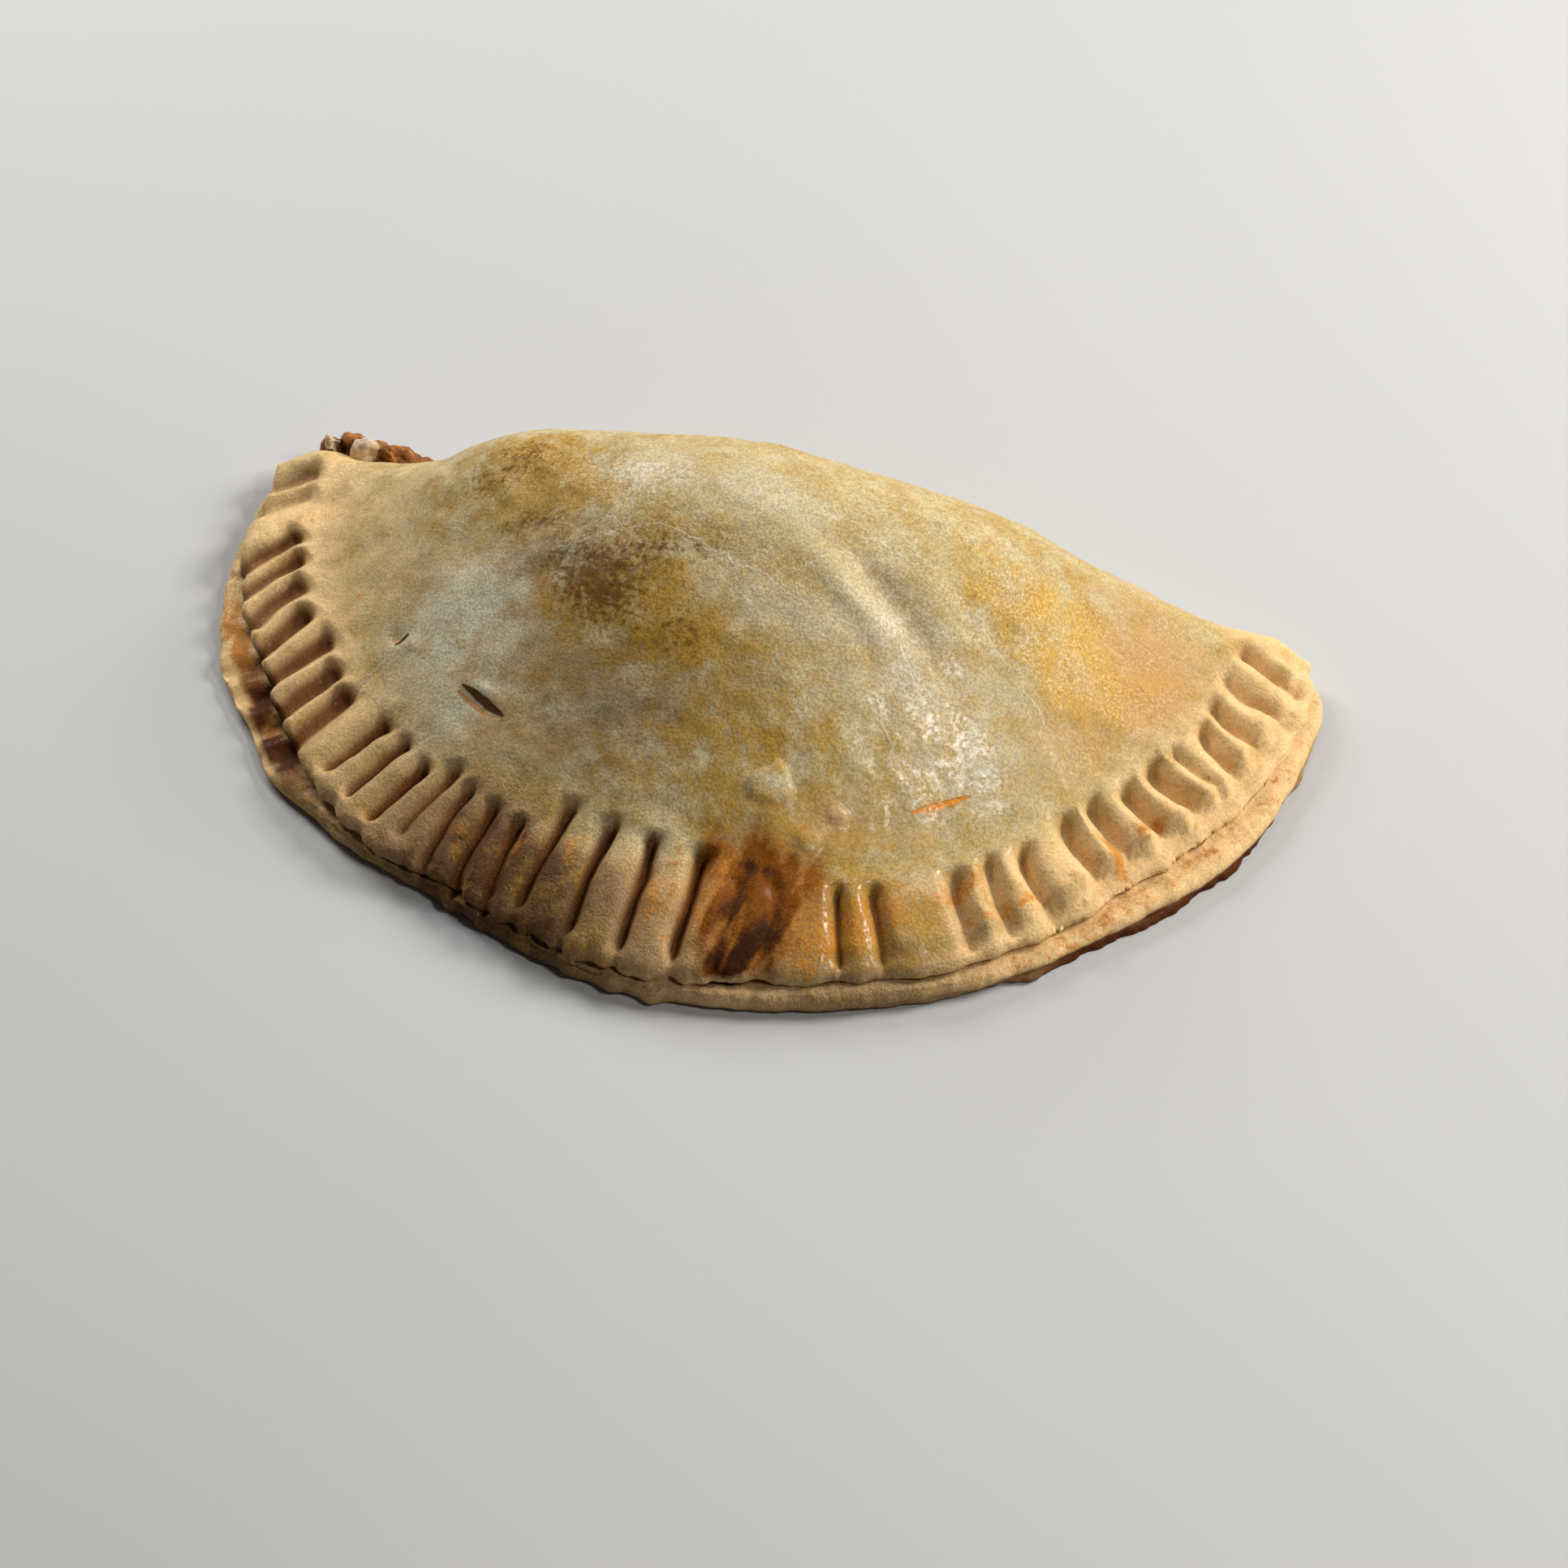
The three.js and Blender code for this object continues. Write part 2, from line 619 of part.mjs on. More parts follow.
const hollow = joined([fillingCore(0), fillingTongue(0), ...fillingLumps(CLEARANCE)]);
const cuts = joined([hollow, ...SLITS.map(slitCutter)]);
const pastry = meshOf('pastry', pastryBody().subtract(cuts), PASTRY_LOOK);
const filling = meshOf(
  'filling',
  joined([fillingCore(CLEARANCE), fillingTongue(CLEARANCE), ...fillingLumps(0)]),
  FILLING_LOOK,
);

// The origin is the middle of the base
const empanada = new THREE.Group();
empanada.add(pastry, filling);
const box = new THREE.Box3().setFromObject(empanada);
const middle = box.getCenter(new THREE.Vector3());
for (const mesh of [pastry, filling]) {
  mesh.position.set(-middle.x, -middle.y, -box.min.z);
}

export default empanada;
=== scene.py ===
"""Looks of a baked empanada: a folded crust with a fork-crimped rim, and the filling at its burst.

The form classes work in millimetres about the middle of the fold, which lies along X at the back. The rim
curves round towards -Y, and plan angles run in degrees from the right tip (0) by the front (90) to the left.
"""

import logging
import math
from collections.abc import Iterable
from dataclasses import dataclass
from enum import Enum

import bmesh
import bpy
import numpy as np
from mathutils import Matrix, Vector


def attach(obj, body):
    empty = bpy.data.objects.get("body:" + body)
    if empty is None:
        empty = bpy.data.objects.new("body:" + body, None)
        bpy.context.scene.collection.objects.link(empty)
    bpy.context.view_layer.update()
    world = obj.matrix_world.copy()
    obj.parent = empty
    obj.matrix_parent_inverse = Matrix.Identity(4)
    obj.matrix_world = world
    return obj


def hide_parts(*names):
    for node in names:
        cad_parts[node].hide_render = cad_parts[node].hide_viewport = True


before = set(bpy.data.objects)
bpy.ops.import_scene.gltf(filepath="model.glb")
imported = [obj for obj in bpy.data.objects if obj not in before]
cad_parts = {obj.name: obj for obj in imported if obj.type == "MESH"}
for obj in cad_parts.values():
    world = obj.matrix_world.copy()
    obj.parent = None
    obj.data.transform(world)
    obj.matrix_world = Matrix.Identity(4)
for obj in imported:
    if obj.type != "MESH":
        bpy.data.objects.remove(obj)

Array = np.ndarray
Point = tuple[float, float]
Triple = tuple[float, float, float]
Span = tuple[float, float, float, float]
Colour = Triple
Object = bpy.types.Object
Material = bpy.types.Material
Tree = bpy.types.NodeTree
Node = bpy.types.Node
Socket = bpy.types.NodeSocket

LOG = logging.getLogger("empanada")
MM = 0.001
FOLD_TO_BASE = (-1.7378, 37.7833)
PHOTO_SIDE = 1932
HALF_TURN = 180.0
DRAW_STEPS = (12.9898, 78.233)
DRAW_SCALE = 43758.5453
CELL_STEPS = (374761393, 668265263, 2147483647)
SEED_STEP = 97531
HASH_STEP = 1274126177
HASH_SHIFTS = (13, 16)
WORD = 0xFFFFFFFF
HALF_WORD = 0xFFFF
LAYER_SHIFT = 17.0
FAINT = 1e-9
TINY = 1e-12
SCORE_SWAYS = 420.0
# sockets of a mix node that mixes colours: its share, lower colour and upper colour, and its result
MIX_INPUTS = (0, 6, 7)
MIX_RESULT = 2


class Part(Enum):
    """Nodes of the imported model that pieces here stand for."""

    PASTRY = "pastry"
    FILLING = "filling"


class Mask(Enum):
    """Vertex masks that carry the baking, painted shade and painted highlights, and the filling's pale bits,
    over to the finishes.
    """

    TAN = "tan"
    FLANK = "flank"
    GOLD = "gold"
    SCORCH = "scorch"
    YOLK = "yolk"
    ORANGE = "orange"
    BURNT = "burnt"
    CHAR = "char"
    GREY = "grey"
    PALE = "pale"
    SAUCE = "sauce"
    GLOSS = "gloss"
    POCKET = "pocket"
    CRACKLE = "crackle"
    TOAST = "toast"
    STREAK = "streak"
    PALE_BIT = "pale_bit"


def mix(start: Array | float, end: Array | float, share: Array | float) -> Array | float:
    """Value between start and end at a share from 0 to 1."""
    return start + (end - start) * share


def unit(value: Array | float) -> Array:
    """Value held between 0 and 1."""
    return np.clip(value, 0.0, 1.0)


def ease(share: Array | float) -> Array:
    """Eased step from 0 to 1."""
    t = unit(share)
    return t * t * (3.0 - 2.0 * t)


def rows(*columns: Array) -> Array:
    """Rows of coordinates from a column for each axis."""
    return np.stack(columns, axis=1)


def spotted(spots: Point, noise: Array) -> Array:
    """A ground with a share of a noise added to it."""
    return spots[0] + spots[1] * noise


def draw(seed: int, index: int) -> float:
    """Repeatable draw between 0 and 1."""
    wave = math.sin(seed * DRAW_STEPS[0] + index * DRAW_STEPS[1]) * DRAW_SCALE
    return wave - math.floor(wave)


@dataclass(frozen=True)
class Noise:
    """Repeatable smooth noise over points in millimetres, in layers of ever smaller and weaker swells."""

    seed: int
    size: float
    layers: int

    def corner(self, cells: Array) -> Array:
        """Draws a value for each whole-number cell.

        Args:
            cells: rows of three whole numbers.

        Returns:
            One value from 0 to 1 for each row.
        """
        value = sum(cells[:, n] * step for n, step in enumerate(CELL_STEPS)) + self.seed * SEED_STEP
        value = value & WORD
        value = ((value ^ (value >> HASH_SHIFTS[0])) * HASH_STEP) & WORD
        value = value ^ (value >> HASH_SHIFTS[1])
        return (value & HALF_WORD) / HALF_WORD

    def swell(self, points: Array, size: float) -> Array:
        """Noise of one size.

        Args:
            points: rows of x, y, z in millimetres.
            size: width of one swell in millimetres.

        Returns:
            One value from -1 to 1 for each point.
        """
        scaled = points / size
        low = np.floor(scaled).astype(np.int64)
        part = ease(scaled - low)
        total = np.zeros(len(points))
        for number in range(8):
            step = np.array([number & 1, number >> 1 & 1, number >> 2])
            weight = np.prod(np.where(step, part, 1.0 - part), axis=1)
            total += weight * self.corner(low + step)
        return 2.0 * total - 1.0

    def at(self, points: Array) -> Array:
        """Noise at each point, where each layer has half the size and strength of the one before."""
        return sum(self.swell(points + LAYER_SHIFT * n, self.size / 2**n) / 2**n for n in range(self.layers))


@dataclass(frozen=True)
class Ramp:
    """An eased step from 0 at a start to 1 a run further on; with a run below 0 it rises backwards."""

    start: float
    run: float

    def over(self, value: Array) -> Array:
        """Height of the ramp at each value."""
        return ease((value - self.start) / self.run)


@dataclass(frozen=True)
class Wave:
    """A soft rise or dip centred on a value, mostly a plan angle round the rim."""

    at: float
    width: float
    by: float

    def over(self, value: Array) -> Array:
        """Height of the wave at each value."""
        return self.by * np.exp(-(((value - self.at) / self.width) ** 2))


@dataclass(frozen=True)
class Patch:
    """A soft oval on the plan, used for swells of the skin and for stains of the bake."""

    x: float
    y: float
    long: float
    wide: float
    turn: float = 0.0
    by: float = 1.0

    def over(self, x: Array, y: Array) -> Array:
        """Strength of the patch.

        Args:
            x: plan x of each point.
            y: plan y of each point.

        Returns:
            One value for each point, greatest at the middle of the oval.
        """
        c, s = math.cos(math.radians(self.turn)), math.sin(math.radians(self.turn))
        along = ((x - self.x) * c + (y - self.y) * s) / self.long
        across = ((y - self.y) * c - (x - self.x) * s) / self.wide
        return self.by * np.exp(-(along**2 + across**2))


def summed(shapes: Iterable[Wave | Patch], *place: Array) -> Array:
    """Sum of several waves over a value, or of several patches over the plan."""
    return sum(shape.over(*place) for shape in shapes)


def gather(patches: Iterable[Patch], x: Array, y: Array) -> Array:
    """Joint cover of several stains.

    Args:
        patches: the stains.
        x: plan x of each point.
        y: plan y of each point.

    Returns:
        Cover of each point, from 0 to 1.
    """
    clear = np.ones_like(x)
    for patch in patches:
        clear *= 1.0 - unit(patch.over(x, y))
    return 1.0 - clear


@dataclass(frozen=True)
class Press:
    """One press of the fork.

    Attributes:
        at: plan angle of its middle.
        tines: number of tines that left a groove.
        pitch: angle from one tine to the next.
        lean: slant of the grooves in degrees.
        start: where the grooves begin, in from the edge.
        end: where they end.
        depth: their depth.
        half_width: half their width.
        square: how square their section is.
        run_in: share of their length over which they deepen.
        bend: how far their inner end bends towards the right tip.
        flare: how much wider their outer end is.
        rounded: whether the dough beside them is rounded over.
    """

    at: float
    tines: int
    pitch: float
    lean: float
    start: float
    end: float
    depth: float
    half_width: float
    square: float
    run_in: float
    bend: float = 0.0
    flare: float = 0.0
    rounded: bool = False

    def section(self, aside: Array, half_width: Array) -> Array:
        """Section across a groove.

        Args:
            aside: distance of each point from the middle of the groove.
            half_width: half the groove's width there.

        Returns:
            Share of the depth at each point.
        """
        if self.rounded:
            return unit(1.0 - np.abs(aside) / half_width) ** self.square
        return np.exp(-(np.abs(aside / half_width) ** self.square))


@dataclass(frozen=True)
class Mark:
    """The groove that one tine left: its press, its outer end, heading inwards, length and depth."""

    press: Press
    edge_angle: float
    start: Point
    inward: Point
    length: float
    depth: float


@dataclass
class DoughForm:
    """The folded dough's form: plan, rim, mound and fork marks."""

    rim_radius: float = 82.7
    rim_waves: tuple[Wave, ...] = (
        Wave(0, 3.5, -3.0), Wave(25, 12, 2.1), Wave(55, 11, 0.9), Wave(112, 14, -3.6), Wave(180, 15, -4.2),
    )
    fold_step: float = 2.2
    fold_step_share: float = 0.04
    fold_bulge: float = 2.4
    lip_show: float = 0.9
    lip_overhangs: tuple[Wave, ...] = (
        Wave(24, 17, 1.3), Wave(72, 16, 1.2), Wave(114, 14, -0.7), Wave(146, 15, 3.6),
    )
    crease_waves: tuple[Wave, ...] = (Wave(33, 15, 2.0),)
    edge_height: float = 5.3
    edge_lifts: tuple[Wave, ...] = (Wave(148, 18, 1.1), Wave(30, 20, -0.6))
    knee_beyond_reach: float = 2.6
    centre: Point = (-1.0, -30.0)
    band_height: float = 8.6
    band_width: float = 14.0
    band_bend: float = 1.2
    band_overrun: float = 1.1
    band_rise: Wave = Wave(92, 30, 3.0)
    shelf: Wave = Wave(28, 22, 1.3)
    shelf_step: Ramp = Ramp(2.0, 2.2)
    shelf_share: float = 0.85
    mound_rise: float = 31.0
    mound_foot: float = 66.0
    mound_foot_left: float = 68.0
    mound_power: float = 2.15
    mound_flare: float = 1.4
    fold_power: float = 2.05
    fold_fullness: float = 2.1
    fold_turn_middle: float = 31.5
    fold_turn_tip: float = 6.0
    fold_fade_right: Ramp = Ramp(16.0, 51.0)
    fold_fade_left: Ramp = Ramp(30.0, 38.0)
    fold_edge_middle: float = 9.5
    fold_edge_tip: float = 3.6
    swells: tuple[Patch, ...] = (
        Patch(-68, 1, 8, 8, by=2.3), Patch(-52, 0, 8, 8, by=-3.5), Patch(-38, -8, 11, 11, by=1.6),
        Patch(20, -22, 9, 9, by=-1.1), Patch(40, -34, 12, 12, by=0.8), Patch(54, -4, 14, 14, by=-1.7),
    )
    presses: tuple[Press, ...] = (
        Press(1.5, 1, 4.0, 21, 0.5, 5.0, 0.9, 1.2, 2.0, 0.5),
        Press(12.2, 4, 4.7, 14, 0.8, 14.8, 2.7, 3.2, 2.1, 0.16, 1.8, 0.1, True),
        Press(23.0, 1, 4.0, -3, 1.2, 14.8, 1.5, 2.6, 2.1, 0.2, 1.8, 0.1, True),
        Press(33.6, 4, 4.6, -5, 0.6, 15.8, 3.3, 3.4, 2.1, 0.16, 2.4, 0.1, True),
        Press(51.4, 3, 4.4, 0, 0.6, 14.8, 2.8, 3.0, 2.1, 0.18, 1.6, 0.1, True),
        Press(67.0, 2, 4.1, 4, 0.0, 12.9, 2.3, 2.5, 2.1, 0.25, 0.6, 0.0, True),
        Press(78.8, 2, 4.4, 8, 1.0, 14.0, 0.7, 1.2, 2.0, 0.5),
        Press(94.0, 4, 5.7, 3, 0.3, 17.7, 2.7, 1.15, 1.5, 0.2),
        Press(111.1, 3, 4.25, -9, -0.5, 13.8, 2.5, 1.15, 1.5, 0.2),
        Press(125.3, 4, 4.2, -2, 1.2, 14.7, 2.4, 1.25, 1.6, 0.2),
        Press(142.3, 3, 4.7, -17, -0.6, 11.2, 2.8, 2.2, 2.0, 0.14),
        Press(158.5, 4, 4.1, -31, -0.5, 9.6, 2.5, 2.0, 2.0, 0.16),
        Press(174.2, 2, 4.0, -20, -0.2, 8.6, 1.7, 1.8, 2.0, 0.2),
    )
    press_spread: float = 8.0
    uneven_turn: float = 0.5
    uneven_length: float = 0.12
    uneven_depth: float = 0.35
    tine_round: float = 1.15
    tine_half: float = 1.5
    deepening: Point = (0.8, 1.2)
    bend_power: int = 3
    bend_rest: float = 0.1
    scallop: float = 0.9
    scallop_reach: float = 2.2
    edge_wobble: float = 0.35
    edge_noise: Noise = Noise(71, 6.0, 3)
    loose_edge: Wave = Wave(108, 20, 1.6)
    loosest: float = 2.0
    tip_calm: Ramp = Ramp(0.0, 8.0)
    mark_sway: float = 0.5
    sway_noises: tuple[Noise, Noise] = (Noise(51, 7.0, 2), Noise(52, 7.0, 2))

    def __post_init__(self) -> None:
        """Works out the fork marks."""
        self.marks = [mark for n, press in enumerate(self.presses) for mark in self.press_marks(n, press)]

    def press_marks(self, number: int, press: Press) -> list[Mark]:
        """Marks of one press, with a little unevenness.

        Args:
            number: place of the press in the list.
            press: the press.

        Returns:
            One mark for each tine.
        """
        marks = []
        for tine in range(press.tines):
            uneven = draw(number + 1, tine) - 0.5
            angle = press.at + (tine - (press.tines - 1) / 2) * press.pitch + uneven * self.uneven_turn
            slant = math.tan(math.radians(press.lean)) / self.rim_radius
            edge_angle = angle + (press.start + press.end) / 2 * math.degrees(slant)
            out_x, out_y = self.rim_point(angle + press.lean, 1.0)
            edge_x, edge_y = self.rim_point(edge_angle, self.sheet_radius(edge_angle))
            stretch = 1.0 / math.cos(math.radians(press.lean))
            marks.append(Mark(
                press=press,
                edge_angle=edge_angle,
                start=(edge_x - out_x * press.start * stretch, edge_y - out_y * press.start * stretch),
                inward=(-out_x, -out_y),
                length=(press.end - press.start) * stretch * (1 + self.uneven_length * uneven),
                depth=press.depth * (1 - self.uneven_depth * uneven),
            ))
        return marks

    @staticmethod
    def rim_point(angle: Array | float, radius: Array | float) -> tuple[Array, Array]:
        """Plan point at an angle and a radius."""
        turn = np.radians(angle)
        return radius * np.cos(turn), -radius * np.sin(turn)

    @staticmethod
    def plan_angle(x: Array, y: Array) -> Array:
        """Plan angle of each point, held between the two tips."""
        return np.degrees(np.arctan2(np.maximum(-y, 0.0), x))

    def lip_radius(self, angle: Array | float) -> Array:
        """Outer edge of the lower sheet."""
        return self.rim_radius + summed(self.rim_waves, angle)

    def sheet_radius(self, angle: Array | float) -> Array:
        """Outer edge of the upper sheet, without its scallops."""
        return self.lip_radius(angle) - self.lip_show - summed(self.lip_overhangs, angle)

    def press_value(self, angle: Array, key: str) -> Array:
        """A press value carried smoothly round the rim.

        Args:
            angle: plan angles.
            key: name of the value.

        Returns:
            The value at each angle.
        """
        total = np.zeros_like(angle)
        weights = np.zeros_like(angle)
        for press in self.presses:
            weight = np.exp(-(((angle - press.at) / self.press_spread) ** 2)) + FAINT
            total += weight * getattr(press, key)
            weights += weight
        return total / weights

    def drawn_in(self, angle: Array) -> Array:
        """How far tines that ran out to the sheet's edge have drawn it in.

        Args:
            angle: plan angles.

        Returns:
            A share from 0 to 1 at each angle.
        """
        share = np.zeros_like(angle)
        for mark in self.marks:
            off = np.radians(angle - mark.edge_angle) * self.rim_radius
            drawn = ease(1.0 - mark.press.start / self.scallop_reach)
            share = np.maximum(share, drawn * np.exp(-((off / mark.press.half_width) ** 2)))
        return share

    def top_radius(self, angle: Array) -> Array:
        """Outer edge of the upper sheet, with its scallops and a slight wobble.

        Args:
            angle: plan angles.

        Returns:
            The radius at each angle.
        """
        round_rim = rows(np.radians(angle) * self.rim_radius, 0.0 * angle, 0.0 * angle)
        loose = self.edge_wobble * (1.0 + np.clip(self.loose_edge.over(angle), 0.0, self.loosest))
        wobble = loose * self.edge_noise.at(round_rim)
        wobble = wobble * self.tip_calm.over(angle) * self.tip_calm.over(HALF_TURN - angle)
        crease = summed(self.crease_waves, angle)
        return self.sheet_radius(angle) - self.scallop * self.drawn_in(angle) - crease - wobble

    def inset(self, x: Array, y: Array) -> Array:
        """How far in from the upper sheet's edge each plan point lies."""
        return self.top_radius(self.plan_angle(x, y)) - np.hypot(x, y)

    def mark_depth(self, x: Array, y: Array) -> Array:
        """Depth of the fork marks.

        Args:
            x: plan x of each point.
            y: plan y of each point.

        Returns:
            Depth at each point.
        """
        flat = rows(x, y, np.zeros_like(x))
        sway_x, sway_y = (self.mark_sway * noise.at(flat) for noise in self.sway_noises)
        deepest = np.zeros_like(x)
        for mark in self.marks:
            press = mark.press
            off_x = x + sway_x - mark.start[0]
            off_y = y + sway_y - mark.start[1]
            along = off_x * mark.inward[0] + off_y * mark.inward[1]
            share = unit(along / mark.length)
            aside = off_x * mark.inward[1] - off_y * mark.inward[0]
            aside = aside - press.bend * (share**self.bend_power - self.bend_rest)
            half_width = press.half_width * (1.0 + press.flare * (0.5 - share))
            across = press.section(aside, half_width) * mix(*self.deepening, share)
            outer = ease(along / (press.run_in * mark.length))
            end = self.tine_round * min(press.half_width, self.tine_half)
            inner = 1.0 - ease((along - mark.length + end) / end)
            deepest = np.maximum(deepest, mark.depth * across * outer * inner)
        return deepest

    def fold_y(self, x: Array) -> Array:
        """The back of the fold in plan.

        Args:
            x: plan x of each point.

        Returns:
            Plan y of the fold behind each point.
        """
        left = -self.sheet_radius(HALF_TURN)
        share = unit((x - left) / (self.sheet_radius(0.0) - left))
        step = ease(np.minimum(share, 1.0 - share) / self.fold_step_share)
        return self.fold_step * step + self.fold_bulge * (1.0 - (2.0 * share - 1.0) ** 2)

    def fullness(self, x: Array) -> Array:
        """How full the fold is: 1 behind the mound, 0 at the tips."""
        return (1.0 - self.fold_fade_right.over(x)) * (1.0 - self.fold_fade_left.over(-x))

    def edge_top(self, angle: Array) -> Array:
        """Height of the upper sheet at its outer edge."""
        return self.edge_height + summed(self.edge_lifts, angle)

    def shelf_share_at(self, angle: Array) -> Array:
        """How far the rim is a level shelf at each plan angle."""
        return unit(self.shelf.over(angle))

    def skin_height(self, x: Array, y: Array) -> Array:
        """Height of the smooth skin, before the fork marks.

        Args:
            x: plan x of each point.
            y: plan y of each point.

        Returns:
            Height of each point.
        """
        radius = np.hypot(x, y)
        angle = self.plan_angle(x, y)
        sideways = np.minimum(x, 0.0) / np.maximum(radius, 1.0)
        foot = mix(self.mound_foot, self.mound_foot_left, sideways**2)
        dome = np.maximum(1.0 - (radius / foot) ** self.mound_power, 0.0) ** self.mound_flare
        inset = np.maximum(self.inset(x, y), 0.0)
        inner = self.band_height + self.band_rise.over(angle) * np.minimum(radius / foot, 1.0) ** 2
        slope = np.tanh(self.band_bend * inset / self.band_width) / math.tanh(self.band_bend)
        straight = np.minimum(inset / self.band_width, self.band_overrun)
        step = mix(straight, self.shelf_step.over(inset), self.shelf_share)
        band = mix(self.edge_top(angle), inner, mix(slope, step, self.shelf_share_at(angle)))
        full = self.fullness(x)
        turn = mix(self.fold_turn_tip, self.fold_turn_middle, full)
        behind = unit((self.fold_y(x) - y) / turn)
        fold = (1.0 - (1.0 - behind) ** self.fold_power) ** (1.0 / self.fold_fullness)
        fold_edge = mix(self.fold_edge_tip, self.fold_edge_middle, full)
        return mix(fold_edge, band + self.mound_rise * dome, fold) + summed(self.swells, x, y)


class RingSkin:
    """A closed skin sewn from rings, where a ring may have half or twice the columns of the one before."""

    def __init__(self) -> None:
        """Starts with no rings."""
        self.rings: list[Array] = []
        self.faces: list[Array] = []
        self.last: Array | None = None
        self.count = 0

    def add(self, ring: Array) -> None:
        """Sews a ring of points on to the last one.

        Args:
            ring: rows of x, y, z; a single row closes the skin to a point.
        """
        index = np.arange(self.count, self.count + len(ring))
        self.count += len(ring)
        self.rings.append(ring)
        if self.last is not None:
            if len(self.last) <= len(index):
                self.faces.append(self.sewn(self.last, index))
            else:
                self.faces.append(self.sewn(index, self.last)[:, ::-1])
        self.last = index

    @staticmethod
    def sewn(coarse: Array, fine: Array) -> Array:
        """Triangles between two rings.

        Args:
            coarse: vertex numbers of the ring with fewer columns.
            fine: vertex numbers of the other ring: as many, twice as many, or any number round a point.

        Returns:
            Rows of three vertex numbers.
        """
        after = np.roll(fine, -1)
        if len(coarse) == 1:
            return rows(np.full(len(fine), coarse[0]), fine, after)
        coarse_after = np.roll(coarse, -1)
        if len(coarse) == len(fine):
            return np.concatenate([rows(coarse, fine, after), rows(coarse, after, coarse_after)])
        even, odd = fine[0::2], fine[1::2]
        fans = [(coarse, even, odd), (coarse, odd, coarse_after), (coarse_after, odd, np.roll(even, -1))]
        return np.concatenate([rows(*fan) for fan in fans])

    def finish(self) -> tuple[Array, Array]:
        """Joins the rings.

        Returns:
            All points, and the triangles turned to face outwards.
        """
        points = np.concatenate(self.rings)
        faces = np.concatenate(self.faces)
        a, b, c = (points[faces[:, n]] for n in range(3))
        if np.einsum("ij,ij->i", a, np.cross(b, c)).sum() < 0:
            faces = faces[:, ::-1]
        return points, faces


def vertex_normals(points: Array, faces: Array) -> Array:
    """Normals of a triangle mesh at its vertices.

    Args:
        points: rows of x, y, z.
        faces: rows of three vertex numbers.

    Returns:
        One unit row for each point.
    """
    a, b, c = (points[faces[:, n]] for n in range(3))
    flat = np.cross(b - a, c - a)
    normals = np.zeros_like(points)
    for n in range(3):
        np.add.at(normals, faces[:, n], flat)
    return normals / np.maximum(np.linalg.norm(normals, axis=1, keepdims=True), TINY)


def add_object(name: str, data: bpy.types.ID) -> Object:
    """Adds an object to the scene.

    Args:
        name: its name.
        data: its mesh, lamp or lens.

    Returns:
        The object.
    """
    made = bpy.data.objects.new(name, data)
    bpy.context.scene.collection.objects.link(made)
    return made


def mesh_object(name: str, points: Array, faces: Array) -> Object:
    """Makes a smooth-shaded mesh object from points about the fold.

    Args:
        name: the piece's name.
        points: rows of x, y, z in millimetres about the middle of the fold.
        faces: rows of three vertex numbers.

    Returns:
        The new object, in metres in the model's frame.
    """
    placed = (points + np.array([*FOLD_TO_BASE, 0.0])) * MM
    mesh = bpy.data.meshes.new(name)
    mesh.from_pydata(placed.tolist(), [], faces.tolist())
    mesh.polygons.foreach_set("use_smooth", np.ones(len(faces), dtype=bool))
    mesh.update()
    return add_object(name, mesh)


def add_mask(target: Object, mask: Mask, values: Array) -> None:
    """Stores a mask on an object.

    Args:
        target: the object.
        mask: the mask.
        values: one value for each vertex.
    """
    layer = target.data.attributes.new(mask.value, "FLOAT", "POINT")
    layer.data.foreach_set("value", np.ascontiguousarray(values, dtype=np.float32))


